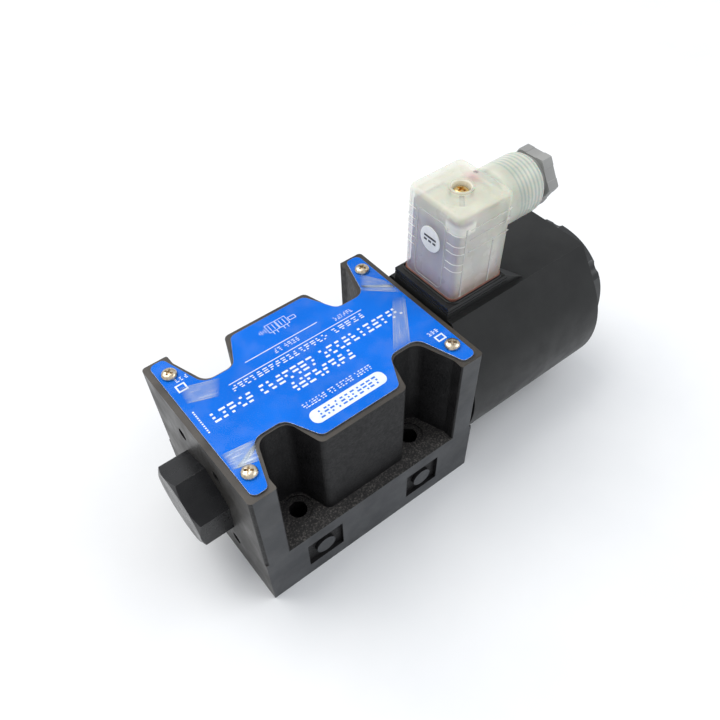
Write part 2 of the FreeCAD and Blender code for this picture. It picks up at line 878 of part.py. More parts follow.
def coil_blank():
    """Round moulding with a flat-topped shoulder, and the gusseted terminal box at the valve end."""
    length = "coil_rear - coil_front"
    barrel = rod("coil_barrel", "coil_radius", length, "x", "coil_front", "0", "spool_axis")
    shoulder_body = doc.addObject("PartDesign::Body", "coil_shoulder")
    corners = [
        ("coil_shoulder_half_width", "coil_shoulder_height"),
        ("coil_top_half_width", "coil_top"),
        ("- coil_top_half_width", "coil_top"),
        ("- coil_shoulder_half_width", "coil_shoulder_height"),
    ]
    sketch = outline_sketch(shoulder_body, "YZ_Plane", corners)
    pad = shoulder_body.newObject("PartDesign::Pad", "shoulder_length")
    pad.Profile = sketch
    bind(pad, "Length", length)
    bind(shoulder_body, "Placement.Base.x", "coil_front")
    box = block("terminal_box", "box_length", "2 * box_half_width", "box_top - box_root",
                "coil_front", "- box_half_width", "box_root")
    return union("coil_form", [barrel, shoulder_body, box, box_gusset(1), box_gusset(-1)])


CONNECTOR_MIDDLE = "connector_front + connector_length / 2"
POST_FOOT = "box_top - post_depth"

# Blade terminals of the coil: length in X, width in Y, and the centre of each
BLADES = {
    "supply": ("blade_thickness", "blade_width", f"{CONNECTOR_MIDDLE} - blade_offset", "0"),
    "return": ("blade_thickness", "blade_width", f"{CONNECTOR_MIDDLE} + blade_offset", "0"),
    "earth": ("blade_width", "blade_thickness", CONNECTOR_MIDDLE, "blade_offset"),
}


def coil_moulding():
    """Plastic moulding, hollow for the yoke and winding, bored for the solenoid tube."""
    bore = rod("coil_bore", "coil_bore_radius", "coil_rear - coil_front + 2 * overrun", "x",
               "coil_front - overrun", "0", "spool_axis")
    cavity = rod("coil_cavity", "coil_cavity_radius", f"{CAVITY_END} - ({CAVITY_START})", "x",
                 CAVITY_START, "0", "spool_axis")
    post_seat = rod("post_seat", "post_radius", "post_depth", "z", CONNECTOR_MIDDLE, "0", POST_FOOT)
    slots = [block("blade_slot", length, width, "post_depth", f"{x} - {length} / 2",
                   f"{y} - {width} / 2", POST_FOOT)
             for length, width, x, y in BLADES.values()]
    keep(cut("coil_moulding", coil_blank(), [bore, cavity, post_seat] + slots), "coil_moulding")


def coil_terminals():
    """Three blades that the plug's sockets grip, and the threaded post for its centre screw."""
    blades = {name: block(f"blade_{name}", length, width, f"blade_top - ({POST_FOOT})",
                          f"{x} - {length} / 2", f"{y} - {width} / 2", POST_FOOT)
              for name, (length, width, x, y) in BLADES.items()}
    keep(group("power_terminals", [blades["supply"], blades["return"]]), "power_terminals")
    keep(blades["earth"], "earth_terminal")
    post = rod("post", "post_radius", "post_depth", "z", CONNECTOR_MIDDLE, "0", POST_FOOT)
    hole = rod("post_hole", "post_hole_radius", "post_depth + overrun", "z", CONNECTOR_MIDDLE, "0",
               POST_FOOT)
    keep(cut("screw_insert", post, [hole]), "screw_insert")


def magnetic_circuit():
    """Iron yoke round the winding: a tube and two end plates."""
    inner = "coil_cavity_radius - yoke_wall"
    keep(hollow_turned("yoke_tube", CAVITY_START, CAVITY_END, "coil_cavity_radius", inner),
         "yoke_tube")
    keep(hollow_turned("yoke_front_plate", CAVITY_START, f"{CAVITY_START} + yoke_plate", inner,
                       "coil_bore_radius"), "yoke_front_plate")
    keep(hollow_turned("yoke_rear_plate", f"{CAVITY_END} - yoke_plate", CAVITY_END, inner,
                       "coil_bore_radius"), "yoke_rear_plate")


def winding():
    """Flanged bobbin and the copper wound on it."""
    start = f"{CAVITY_START} + yoke_plate"
    end = f"{CAVITY_END} - yoke_plate"
    flange = "coil_cavity_radius - yoke_wall"
    drum = "coil_bore_radius + bobbin_wall"
    bobbin = turned("bobbin", [
        (start, "coil_bore_radius"),
        (end, "coil_bore_radius"),
        (end, flange),
        (f"{end} - bobbin_wall", flange),
        (f"{end} - bobbin_wall", drum),
        (f"{start} + bobbin_wall", drum),
        (f"{start} + bobbin_wall", flange),
        (start, flange),
    ])
    keep(bobbin, "bobbin")
    keep(hollow_turned("copper_winding", f"{start} + bobbin_wall", f"{end} - bobbin_wall",
                       "winding_radius", drum), "copper_winding")


def coil_nut():
    """Moulded hand nut: a hexagon whose corners are scooped away, threaded on the tube stub."""
    length = "nut_end - nut_start"
    inradius = "nut_across_flats / 2"
    blank = hexagon("nut_hexagon", "nut_across_flats / sqrt(3)", length, "nut_start", "nut_turn")
    distance = value(f"{inradius} / cos(nut_flat_half_angle) + nut_scallop_radius"
                     " - nut_scallop_depth")
    through = f"{length} + 2 * overrun"
    tools = [rod("nut_thread", "stub_radius + fit_gap", through, "x", "nut_start - overrun", "0",
                 "spool_axis"),
             rod("nut_face_recess", "tube_radius + nut_recess_gap", "nut_recess_depth + overrun",
                 "x", "nut_start - overrun", "0", "spool_axis")]
    for index in range(6):
        angle = math.radians(value("nut_turn") + 60 * index)
        y = f"{distance * math.cos(angle):.4f}"
        z = f"spool_axis + ({distance * math.sin(angle):.4f})"
        tools.append(rod("nut_scallop", "nut_scallop_radius", through, "x", "nut_start - overrun",
                         y, z))
    rounding = turned("nut_rounding_form", [
        ("nut_start", "0"),
        ("nut_start", f"{inradius} + nut_chamfer"),
        ("nut_end - nut_chamfer", f"{inradius} + nut_chamfer"),
        ("nut_end", inradius),
        ("nut_end", "0"),
    ])
    keep(cut("coil_nut", common("nut_blank", blank, rounding), tools), "coil_nut")
    seal = ring("coil_rear_seal", "tube_radius + nut_recess_gap - nut_seal_wire_radius - 2 * fit_gap",
                "nut_seal_wire_radius", "x",
                "nut_start + nut_recess_depth - nut_seal_wire_radius - fit_gap", "0", "spool_axis")
    keep(seal, "coil_rear_seal")


# ---------------------------------------------------------------- plug connector

CONNECTOR_BASE = "box_top + gasket_thickness"
CONNECTOR_REAR = "connector_front + connector_length"


def connector_gasket():
    """Flat gasket with a square window for the terminals."""
    pad = block("gasket_pad", "connector_length", "2 * connector_half_width", "gasket_thickness",
                "connector_front", "- connector_half_width", "box_top")
    window = block("gasket_window", "connector_length - 2 * gasket_rim",
                   "2 * connector_half_width - 2 * gasket_rim", "gasket_thickness + 2 * overrun",
                   "connector_front + gasket_rim", "gasket_rim - connector_half_width",
                   "box_top - overrun")
    keep(cut("connector_gasket", pad, [window]), "connector_gasket")


def connector_housing():
    """Translucent hood: an open-bottomed box with a screw boss and the cable gland's sleeve."""
    rear = CONNECTOR_REAR
    corners = [
        (rear, "connector_half_width", "connector_corner"),
        ("connector_front", "connector_half_width", "connector_corner"),
        ("connector_front", "- connector_half_width", "connector_corner"),
        (rear, "- connector_half_width", "connector_corner"),
    ]
    shell = plate("hood_block", corners, f"connector_top - ({CONNECTOR_BASE})", CONNECTOR_BASE)
    sleeve = rod("gland_sleeve", "gland_radius", f"gland_end - ({rear}) + connector_wall", "x",
                 f"{rear} - connector_wall", "0", "gland_axis")
    cavity = block("hood_cavity", "connector_length - 2 * connector_wall",
                   "2 * (connector_half_width - connector_wall)",
                   f"connector_top - connector_wall - ({CONNECTOR_BASE}) + overrun",
                   "connector_front + connector_wall", "connector_wall - connector_half_width",
                   f"{CONNECTOR_BASE} - overrun")
    sleeve_bore = rod("gland_bore", "gland_bore_radius",
                      f"gland_end - ({rear}) + connector_wall + 2 * overrun", "x",
                      f"{rear} - connector_wall - overrun", "0", "gland_axis")
    hollow = cut("hood_shell", union("hood_blank", [shell, sleeve]), [cavity, sleeve_bore])
    boss = rod("screw_boss", "boss_radius", "boss_rise + connector_top - screw_seat + boss_floor",
               "z", CONNECTOR_MIDDLE, "0", "screw_seat - boss_floor")
    head_well = rod("head_well", "screw_head_radius + head_well_gap",
                    "connector_top - screw_seat + overrun", "z", CONNECTOR_MIDDLE, "0", "screw_seat")
    screw_hole = rod("screw_hole", "screw_hole_radius", "boss_floor + 2 * overrun", "z",
                     CONNECTOR_MIDDLE, "0", "screw_seat - boss_floor - overrun")
    keep(cut("connector_housing", union("hood_and_boss", [hollow, boss]), [head_well, screw_hole]),
         "connector_housing")


# Wire-clamp screws stand on the low and tall parts of the insert
WIRE_SCREW_PLACES = [
    (f"{CONNECTOR_MIDDLE} + wire_screw_rear", "wire_screw_side"),
    (f"{CONNECTOR_MIDDLE} + wire_screw_rear", "- wire_screw_side"),
    (f"{CONNECTOR_MIDDLE} - wire_screw_front", "- wire_screw_side"),
]


def contact_insert():
    """Terminal block inside the hood: low under the cable, tall beside it, slotted for blades."""
    gap = "(connector_wall + insert_gap)"
    x = f"connector_front + {gap}"
    half_width = f"(connector_half_width - {gap})"
    low = block("insert_low", f"connector_length - 2 * {gap}", f"2 * {half_width}",
                f"insert_step - ({CONNECTOR_BASE})", x, f"- {half_width}", CONNECTOR_BASE)
    tall = block("insert_tall", f"insert_split - ({x})", f"2 * {half_width}",
                 "insert_top - insert_step", x, f"- {half_width}", "insert_step")
    tools = [rod("insert_screw_hole", "insert_hole_radius", "insert_top - box_top + overrun", "z",
                 CONNECTOR_MIDDLE, "0", "box_top")]
    for length, width, blade_x, blade_y in BLADES.values():
        tools.append(block("contact_slot", f"{length} + 2 * contact_slot_gap",
                           f"{width} + 2 * contact_slot_gap", "insert_step - box_top",
                           f"{blade_x} - {length} / 2 - contact_slot_gap",
                           f"{blade_y} - {width} / 2 - contact_slot_gap", "box_top"))
    for screw_x, screw_y in WIRE_SCREW_PLACES:
        tools.append(rod("wire_screw_well", "wire_well_radius",
                         "insert_top - insert_step + wire_well_depth + overrun", "z", screw_x,
                         screw_y, "insert_step - wire_well_depth"))
    keep(cut("contact_insert", union("insert_blank", [low, tall]), tools), "contact_insert")


def wire_screws():
    """Slotted screws that clamp the three wires in their sockets."""
    screws = []
    for x, y in WIRE_SCREW_PLACES:
        bottom = "insert_step - wire_screw_depth"
        barrel = rod("wire_screw_head", "wire_screw_radius", "wire_screw_height", "z", x, y, bottom)
        slot = block("wire_screw_slot", "2 * wire_screw_radius + 2 * fit_gap", "wire_slot_width",
                     "wire_slot_depth + overrun", f"{x} - wire_screw_radius - fit_gap",
                     f"{y} - wire_slot_width / 2",
                     f"{bottom} + wire_screw_height - wire_slot_depth")
        screws.append(cut("wire_screw", barrel, [slot]))
    keep(group("wire_screws", screws), "wire_screws")


def socket_contacts():
    """Spring sockets that grip the coil's blades, one per blade, with clearance all round."""
    top = "insert_step - socket_top_gap"
    rim = "(socket_gap + socket_wall)"
    sockets = []
    for name, (length, width, x, y) in BLADES.items():
        outer = block(f"socket_{name}", f"{length} + 2 * {rim}", f"{width} + 2 * {rim}",
                      f"{top} - socket_start", f"{x} - {length} / 2 - {rim}",
                      f"{y} - {width} / 2 - {rim}", "socket_start")
        inner = block(f"socket_gap_{name}", f"{length} + 2 * socket_gap",
                      f"{width} + 2 * socket_gap", f"{top} - socket_cap - socket_start + overrun",
                      f"{x} - {length} / 2 - socket_gap", f"{y} - {width} / 2 - socket_gap",
                      "socket_start - overrun")
        sockets.append(cut(f"contact_{name}", outer, [inner]))
    keep(group("socket_contacts", sockets), "socket_contacts")


def indicator():
    """Small circuit board on the insert, with the lamp that shows through the hood."""
    board = block("board_blank", "board_length", "board_width", "board_thickness",
                  "connector_front + board_margin", "- board_width / 2", "insert_top")
    clearance = rod("board_hole", "boss_radius + board_hole_gap", "board_thickness + 2 * overrun",
                    "z", CONNECTOR_MIDDLE, "0", "insert_top - overrun")
    keep(cut("indicator_board", board, [clearance]), "indicator_board")
    x = f"{CONNECTOR_MIDDLE} + lamp_offset_x"
    lens = rod("lamp_barrel", "lamp_radius", "lamp_height", "z", x, "lamp_offset_y",
               "insert_top + board_thickness")
    dome = doc.addObject("Part::Sphere", "lamp_dome")
    bind(dome, "Radius", "dome_radius")
    move(dome, x, "lamp_offset_y", "insert_top + board_thickness + lamp_height")
    keep(union("indicator_lamp", [lens, dome]), "indicator_lamp")


def connector_screw():
    """Long centre screw that holds the hood down, with its seal."""
    under_head = "screw_seat + 2 * screw_seal_wire_radius"
    tip = "box_top - screw_engagement"
    shank = rod("long_shank", "screw_shank_radius", f"{under_head} - ({tip})", "z",
                CONNECTOR_MIDDLE, "0", tip)
    head = rod("screw_head", "screw_head_radius", "screw_head_height", "z", CONNECTOR_MIDDLE, "0",
               under_head)
    slots = cross_recess("head_cross", "screw_cross_length", "screw_cross_width",
                         "screw_cross_depth", CONNECTOR_MIDDLE, "0",
                         f"{under_head} + screw_head_height")
    keep(cut("connector_screw", union("screw_form", [shank, head]), slots), "connector_screw")
    keep(ring("screw_seal", "screw_seal_radius", "screw_seal_wire_radius", "z", CONNECTOR_MIDDLE,
              "0", "screw_seat + screw_seal_wire_radius"), "screw_seal")


def supply_label():
    """Round white sticker on the front of the hood."""
    keep(rod("supply_label", "label_radius", "label_thickness", "x",
             "connector_front - label_thickness", "0", "label_height"), "supply_label")


# ---------------------------------------------------------------- cable gland

def gland_flats():
    """Head of the gland nut: a hexagon with a shallow groove along the middle of each flat."""
    head = doc.addObject("PartDesign::Body", "gland_flats")
    floor = "(gland_nut_half_flats - gland_groove_depth)"
    corners = []
    for index in range(6):
        turn = f"{60 * index} + gland_nut_turn"
        for side, reach in ((-1, "gland_nut_half_flats"), (-1, floor), (1, floor),
                            (1, "gland_nut_half_flats")):
            offset = f"{side} * gland_groove_half_width"
            corners.append((f"{reach} * cos({turn}) - {offset} * sin({turn})",
                            f"{reach} * sin({turn}) + {offset} * cos({turn})"))
        corners.append((f"gland_nut_radius * cos({turn} + 30)",
                        f"gland_nut_radius * sin({turn} + 30)"))
    pad = head.newObject("PartDesign::Pad", "gland_head_length")
    pad.Profile = outline_sketch(head, "YZ_Plane", corners)
    bind(pad, "Length", "gland_nut_end - gland_nut_front")
    move(head, "gland_nut_front", "0", "gland_axis")
    return head


def cable_gland():
    """Rubber grommet, pressure washer and the gland nut that squeezes them."""
    washer_end = "gland_nut_start - gland_washer_gap"
    washer_start = f"{washer_end} - gland_washer_thickness"
    side = "gland_bore_radius - grommet_side_gap"
    grommet = hollow_turned("gland_grommet", f"{CONNECTOR_REAR} + gland_gap", washer_start, side,
                            "grommet_radius", "gland_axis")
    keep(grommet, "gland_grommet")
    keep(hollow_turned("gland_washer", washer_start, washer_end, side, "cable_radius + gland_gap",
                       "gland_axis"), "gland_washer")
    front = "gland_nut_front"
    rounding = turned("gland_rounding_form", [
        (front, "0"),
        (front, "gland_nut_radius - gland_nut_bevel"),
        (f"{front} + gland_nut_bevel / 2", "gland_nut_radius"),
        ("gland_nut_end - gland_nut_chamfer", "gland_nut_radius"),
        ("gland_nut_end", "gland_nut_radius - gland_nut_chamfer"),
        ("gland_nut_end", "0"),
    ], "gland_axis")
    shank = rod("gland_shank", "gland_nut_shank_radius", f"{front} - gland_nut_start + fit_gap",
                "x", "gland_nut_start", "0", "gland_axis")
    entry = rod("cable_entry", "cable_radius", "gland_nut_end - gland_nut_start + 2 * overrun",
                "x", "gland_nut_start - overrun", "0", "gland_axis")
    blank = union("gland_blank", [common("gland_head", gland_flats(), rounding), shank])
    keep(cut("gland_nut", blank, [entry]), "gland_nut")


# ---------------------------------------------------------------- assembly, checks and output

BUILDERS = [
    valve_body, port_seals, nameplate, nameplate_screws,
    end_plug, return_spring, spring_seat, spool, push_rod, armature,
    pole_piece, tube_shell, tube_end, override_pin,
    coil_moulding, coil_terminals, magnetic_circuit, winding, coil_nut,
    connector_gasket, connector_housing, contact_insert, wire_screws, socket_contacts,
    indicator, connector_screw, supply_label, cable_gland,
]


def check(things):
    """Stop if any object of the document failed or any sub-part is not a sound shape."""
    failed = [item.Name for item in doc.Objects if {"Invalid", "Error"} & set(item.State)]
    if failed:
        raise RuntimeError(f"failed objects: {failed}")
    for thing in things:
        if thing.Shape.isNull() or not thing.Shape.isValid() or not thing.Shape.Solids:
            raise RuntimeError(f"unsound shape: {thing.Label}")


def write(things):
    os.makedirs("parts", exist_ok=True)
    for thing in things:
        thing.Shape.exportStep(f"parts/{thing.Label}.step")
        box = thing.Shape.BoundBox
        print(f"{thing.Label:20s} solids {len(thing.Shape.Solids)}  volume {thing.Shape.Volume:9.0f}"
              f"  x {box.XMin:7.1f} {box.XMax:7.1f}  y {box.YMin:6.1f} {box.YMax:6.1f}"
              f"  z {box.ZMin:6.1f} {box.ZMax:6.1f}")


for build in BUILDERS:
    build()
doc.recompute()
check(subparts)
write(subparts)
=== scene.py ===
"""Looks of a solenoid directional valve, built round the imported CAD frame. Metres, CAD frame.

The spool lies along X, the spring end is at -X, the solenoid at +X, and the nameplate faces +Z.
"""
import random
from math import cos, pi, radians, sin

import bmesh
import bpy
from mathutils import Matrix, Vector


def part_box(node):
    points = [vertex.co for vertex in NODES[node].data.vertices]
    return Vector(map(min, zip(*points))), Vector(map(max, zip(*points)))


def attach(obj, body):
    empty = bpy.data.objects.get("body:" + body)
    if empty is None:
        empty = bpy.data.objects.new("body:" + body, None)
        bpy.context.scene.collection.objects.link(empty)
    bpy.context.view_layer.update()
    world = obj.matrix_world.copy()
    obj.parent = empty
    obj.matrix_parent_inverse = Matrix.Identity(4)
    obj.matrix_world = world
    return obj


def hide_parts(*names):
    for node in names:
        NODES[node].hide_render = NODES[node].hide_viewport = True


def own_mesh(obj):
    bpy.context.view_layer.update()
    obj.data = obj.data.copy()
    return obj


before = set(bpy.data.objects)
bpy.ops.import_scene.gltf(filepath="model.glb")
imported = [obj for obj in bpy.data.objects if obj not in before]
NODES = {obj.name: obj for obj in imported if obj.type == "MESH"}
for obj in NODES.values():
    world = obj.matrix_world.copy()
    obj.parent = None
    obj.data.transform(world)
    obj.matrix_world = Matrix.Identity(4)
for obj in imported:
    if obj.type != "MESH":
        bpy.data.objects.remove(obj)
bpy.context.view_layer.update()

MM = 0.001
SCENE = bpy.context.scene


# -------- places read from the frame

BODY_LOW, BODY_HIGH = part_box("valve_body")
COIL_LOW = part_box("coil_moulding")[0]
GASKET_LOW, GASKET_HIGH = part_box("connector_gasket")
HOOD_LOW, HOOD_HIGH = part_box("connector_housing")
PLUG_LOW, PLUG_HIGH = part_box("end_plug")
SCREW_LOW, SCREW_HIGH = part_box("connector_screw")
GLAND_LOW, GLAND_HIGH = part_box("gland_nut")
SPOOL_AXIS = (PLUG_LOW.z + PLUG_HIGH.z) / 2
GLAND_AXIS = (GLAND_LOW.z + GLAND_HIGH.z) / 2
HOOD_REAR = GASKET_HIGH.x
HOOD_MIDDLE = (GASKET_LOW.x + GASKET_HIGH.x) / 2
HOOD_FRONT = GASKET_LOW.x
HOOD_SIDE = GASKET_HIGH.y
HOOD_FOOT = HOOD_LOW.z
BOSS_RISE = 0.5 * MM
LID = HOOD_HIGH.z - BOSS_RISE
BOX_TOP = GASKET_LOW.z
PLATE_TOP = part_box("nameplate")[1].z


# -------- mesh helpers

def link(name, data):
    """Put a mesh, lamp or camera into the scene."""
    obj = bpy.data.objects.new(name, data)
    SCENE.collection.objects.link(obj)
    return obj


def to_object(name, bm):
    mesh = bpy.data.meshes.new(name)
    bm.to_mesh(mesh)
    bm.free()
    return link(name, mesh)


def mesh_object(name, bm):
    """Turn a bmesh into an object, with every face turned outwards."""
    bmesh.ops.recalc_face_normals(bm, faces=bm.faces)
    return to_object(name, bm)


def settle(obj):
    """Apply every modifier of an object to its mesh."""
    bpy.context.view_layer.update()
    depsgraph = bpy.context.evaluated_depsgraph_get()
    mesh = bpy.data.meshes.new_from_object(obj.evaluated_get(depsgraph))
    obj.modifiers.clear()
    obj.data = mesh
    return obj


def combine(base, tool, operation):
    """Boolean of two objects; the tool is used up, and its faces keep its own materials."""
    modifier = base.modifiers.new("boolean", "BOOLEAN")
    modifier.material_mode = "TRANSFER"
    modifier.operation = operation
    modifier.object = tool
    modifier.solver = "EXACT"
    settle(base)
    bpy.data.objects.remove(tool)
    return base


def soften(obj, width, edge_slot=0, angle=32):
    """Round every sharp edge; the new faces can take a material slot of their own."""
    modifier = obj.modifiers.new("edges", "BEVEL")
    modifier.width = width
    modifier.segments = 2
    modifier.limit_method = "ANGLE"
    modifier.angle_limit = radians(angle)
    modifier.use_clamp_overlap = True
    modifier.material = edge_slot
    return settle(obj)


def smooth(obj, angle=30):
    """Smooth shading with edges kept sharp above an angle, and wide faces kept flat."""
    obj.data.shade_smooth()
    obj.data.set_sharp_from_angle(angle=radians(angle))
    modifier = obj.modifiers.new("normals", "WEIGHTED_NORMAL")
    modifier.keep_sharp = True
    return settle(obj)


def copy_node(node, name):
    """An object with a clean copy of a CAD node's mesh: flat triangles joined into whole faces."""
    bm = bmesh.new()
    bm.from_mesh(NODES[node].data)
    bmesh.ops.remove_doubles(bm, verts=bm.verts, dist=0.002 * MM)
    bmesh.ops.dissolve_limit(bm, angle_limit=radians(0.6), verts=bm.verts, edges=bm.edges)
    for face in bm.faces:
        face.smooth = False
    obj = mesh_object(name, bm)
    stored = obj.data.attributes.get("custom_normal")
    if stored:
        obj.data.attributes.remove(stored)
    return obj


AXES = {
    "x": Matrix(((0, 0, 1), (1, 0, 0), (0, 1, 0))),
    "z": Matrix.Identity(3),
}


def lathe(name, profile, origin, axis="z", segments=72):
    """Turn a closed outline of (distance along the axis, radius) points about the axis."""
    bm = bmesh.new()
    rings = []
    for along, radius in profile:
        count = segments if radius > 1e-7 else 1
        ring = []
        for index in range(count):
            turn = 2 * pi * index / segments
            local = Vector((radius * cos(turn), radius * sin(turn), along))
            ring.append(bm.verts.new(AXES[axis] @ local + Vector(origin)))
        rings.append(ring)
    for first, second in zip(rings, rings[1:] + rings[:1]):
        if len(first) == 1 and len(second) == 1:
            continue
        for index in range(segments):
            after = (index + 1) % segments
            corners = [first[index % len(first)], first[after % len(first)],
                       second[after % len(second)], second[index % len(second)]]
            unique = [c for k, c in enumerate(corners) if c not in corners[:k]]
            bm.faces.new(unique)
    return mesh_object(name, bm)


def rounded_rectangle(low, high, radius, steps=8):
    """Corners of a rounded rectangle, anticlockwise, as (x, y) pairs."""
    points = []
    for start, cx, cy in ((0, high[0] - radius, high[1] - radius),
                          (90, low[0] + radius, high[1] - radius),
                          (180, low[0] + radius, low[1] + radius),
                          (270, high[0] - radius, low[1] + radius)):
        for step in range(steps + 1):
            turn = radians(start + 90 * step / steps)
            points.append((cx + radius * cos(turn), cy + radius * sin(turn)))
    return points


def add_loft(bm, rings):
    """Close a stack of equal-length outlines of 3-D points into a solid."""
    rows = [[bm.verts.new(point) for point in ring] for ring in rings]
    for lower, upper in zip(rows, rows[1:]):
        for index in range(len(lower)):
            after = (index + 1) % len(lower)
            bm.faces.new((lower[index], lower[after], upper[after], upper[index]))
    bm.faces.new(rows[0][::-1])
    bm.faces.new(rows[-1])


def loft(name, rings):
    bm = bmesh.new()
    add_loft(bm, rings)
    return mesh_object(name, bm)


def block_rings(low, high, radius, levels):
    """Outlines of a block with round upright edges; levels are (z, inset) pairs."""
    rings = []
    for z, inset in levels:
        outline = rounded_rectangle((low[0] + inset, low[1] + inset),
                                    (high[0] - inset, high[1] - inset),
                                    max(radius - inset, 0.1 * MM))
        rings.append([(x, y, z) for x, y in outline])
    return rings


def rounded_block(name, low, high, radius, levels):
    return loft(name, block_rings(low, high, radius, levels))


def prism(name, outline, start, end, axis="z"):
    """Extrude a flat outline along z, or along x with the outline in (y, z)."""
    if axis == "z":
        return loft(name, [[(u, v, along) for u, v in outline] for along in (start, end)])
    return loft(name, [[(along, u, v) for u, v in outline] for along in (start, end)])


def boxes(name, places):
    """One object that gathers plain boxes, given as (lowest corner, highest corner) pairs."""
    bm = bmesh.new()
    sides = ((0, 1, 3, 2), (4, 6, 7, 5), (0, 4, 5, 1), (2, 3, 7, 6), (0, 2, 6, 4), (1, 5, 7, 3))
    for low, high in places:
        verts = [bm.verts.new((x, y, z)) for x in (low[0], high[0]) for y in (low[1], high[1])
                 for z in (low[2], high[2])]
        for side in sides:
            bm.faces.new([verts[corner] for corner in side])
    return mesh_object(name, bm)


def join(name, parts):
    """Make one object out of several, keeping each part's materials."""
    bm = bmesh.new()
    materials = []
    for part in parts:
        first = len(bm.faces)
        bm.from_mesh(part.data)
        bm.faces.ensure_lookup_table()
        for face in bm.faces[first:]:
            face.material_index += len(materials)
        materials += list(part.data.materials)
        bpy.data.objects.remove(part)
    obj = to_object(name, bm)
    for material in materials:
        obj.data.materials.append(material)
    return obj


# -------- material helpers

class Paint:
    """A Principled material and the few node steps that the finishes below are made of."""

    def __init__(self, name, **constants):
        self.material = bpy.data.materials.new(name)
        self.material.use_nodes = True
        self.tree = self.material.node_tree
        self.shader = self.tree.nodes["Principled BSDF"]
        for key, number in constants.items():
            self.shader.inputs[key.replace("_", " ")].default_value = number
        self.coordinates = self.node("TexCoord")
        self.place = self.coordinates.outputs["Object"]

    def node(self, kind):
        return self.tree.nodes.new("ShaderNode" + kind)

    def put(self, socket, value):
        """Wire a node output to a socket of the shader."""
        self.feed(self.shader.inputs[socket], value)
        return self

    def feed(self, socket, value):
        """Wire an output, or set a constant, on any input socket."""
        if isinstance(value, bpy.types.NodeSocket):
            self.tree.links.new(value, socket)
        elif value is not None:
            socket.default_value = value

    def stretched(self, scale):
        node = self.node("Mapping")
        self.feed(node.inputs["Vector"], self.place)
        node.inputs["Scale"].default_value = scale
        return node.outputs["Vector"]

    def noise(self, size, detail=3, rough=0.55, stretch=None):
        """Cloudy noise; size is the width of one patch."""
        node = self.node("TexNoise")
        self.feed(node.inputs["Vector"], self.stretched(stretch) if stretch else self.place)
        for key, number in (("Scale", 1 / size), ("Detail", detail), ("Roughness", rough)):
            node.inputs[key].default_value = number
        return node.outputs["Fac"]

    def along_strip(self):
        """Switch to the strip's own coordinates: X along it and Y across it, both 0 to 1."""
        self.place = self.coordinates.outputs["UV"]
        return self

    def near(self, x, y, reach):
        """One at an upright line through (x, y), fading to zero at a distance from it."""
        squares = [self.math("POWER", self.math("SUBTRACT", self.axis(letter), middle), 2.0)
                   for letter, middle in (("x", x), ("y", y))]
        away = self.math("SQRT", self.math("ADD", *squares))
        return self.remap(away, 0.0, reach, 1.0, 0.0)

    def axis(self, letter):
        """Distance along X, Y or Z."""
        node = self.node("SeparateXYZ")
        self.feed(node.inputs[0], self.place)
        return node.outputs[letter.upper()]

    def math(self, operation, *values):
        node = self.node("Math")
        node.operation = operation
        for socket, value in zip(node.inputs, values):
            self.feed(socket, value)
        return node.outputs[0]

    def remap(self, value, low, high, to_low=0.0, to_high=1.0):
        """Map low..high to to_low..to_high, held at the ends."""
        node = self.node("MapRange")
        for socket, number in zip(node.inputs, (value, low, high, to_low, to_high)):
            self.feed(socket, number)
        return node.outputs[0]

    def blend(self, factor, first, second):
        """Mix two colours."""
        node = self.node("Mix")
        node.data_type = "RGBA"
        for name, value in (("Factor", factor), ("A", first), ("B", second)):
            sockets = [s for s in node.inputs if s.name == name and s.enabled]
            self.feed(sockets[0], (*value, 1) if isinstance(value, tuple) else value)
        return next(s for s in node.outputs if s.enabled)

    def bump(self, height, distance, strength=1.0, below=None):
        node = self.node("Bump")
        node.inputs["Strength"].default_value = strength
        node.inputs["Distance"].default_value = distance
        self.feed(node.inputs["Height"], height)
        self.feed(node.inputs["Normal"], below)
        return node.outputs["Normal"]

    def mottled(self, dark, light, size):
        """Colour that drifts between two tones."""
        drift = self.remap(self.noise(size, 5), 0.3, 0.7)
        return self.put("Base Color", self.blend(drift, dark, light))

    def scuffed(self, low, high, size=9 * MM):
        """Roughness that drifts between two values."""
        return self.put("Roughness", self.remap(self.noise(size, 6), 0.35, 0.65, low, high))

    def grained(self, size, detail, height, strength):
        """Give the surface small bumps, and return the finished material."""
        bumps = self.bump(self.noise(size, detail), height, strength)
        return self.put("Normal", bumps).material


# -------- finishes

def machined_iron(name="machined_iron", dark=(0.016, 0.018, 0.021), light=(0.034, 0.037, 0.042)):
    """Milled casting face, phosphated black: fine feed lines, thin stains, smooth sheen."""
    paint = Paint(name, Specular_IOR_Level=0.5)
    paint.mottled(dark, light, 14 * MM)
    paint.scuffed(0.34, 0.52, 11 * MM)
    feed = paint.noise(0.35 * MM, 2, stretch=(0.05, 1, 1))
    grain = paint.noise(0.5 * MM, 4)
    return paint.put("Normal", paint.bump(grain, 0.03 * MM, 0.5,
                                          paint.bump(feed, 0.012 * MM, 0.5))).material


def rough_iron():
    """Sand-cast skin: grains a few tenths of a millimetre across that catch the light."""
    paint = Paint("rough_iron", Specular_IOR_Level=0.28)
    paint.mottled((0.003, 0.003, 0.0035), (0.011, 0.0105, 0.011), 6 * MM)
    paint.scuffed(0.40, 0.60, 1.2 * MM)
    lumps = paint.noise(1.7 * MM, 3)
    grains = paint.noise(0.55 * MM, 4, 0.7)
    coarse = paint.bump(lumps, 0.24 * MM, 0.5)
    return paint.put("Normal", paint.bump(grains, 0.18 * MM, 0.9, coarse)).material


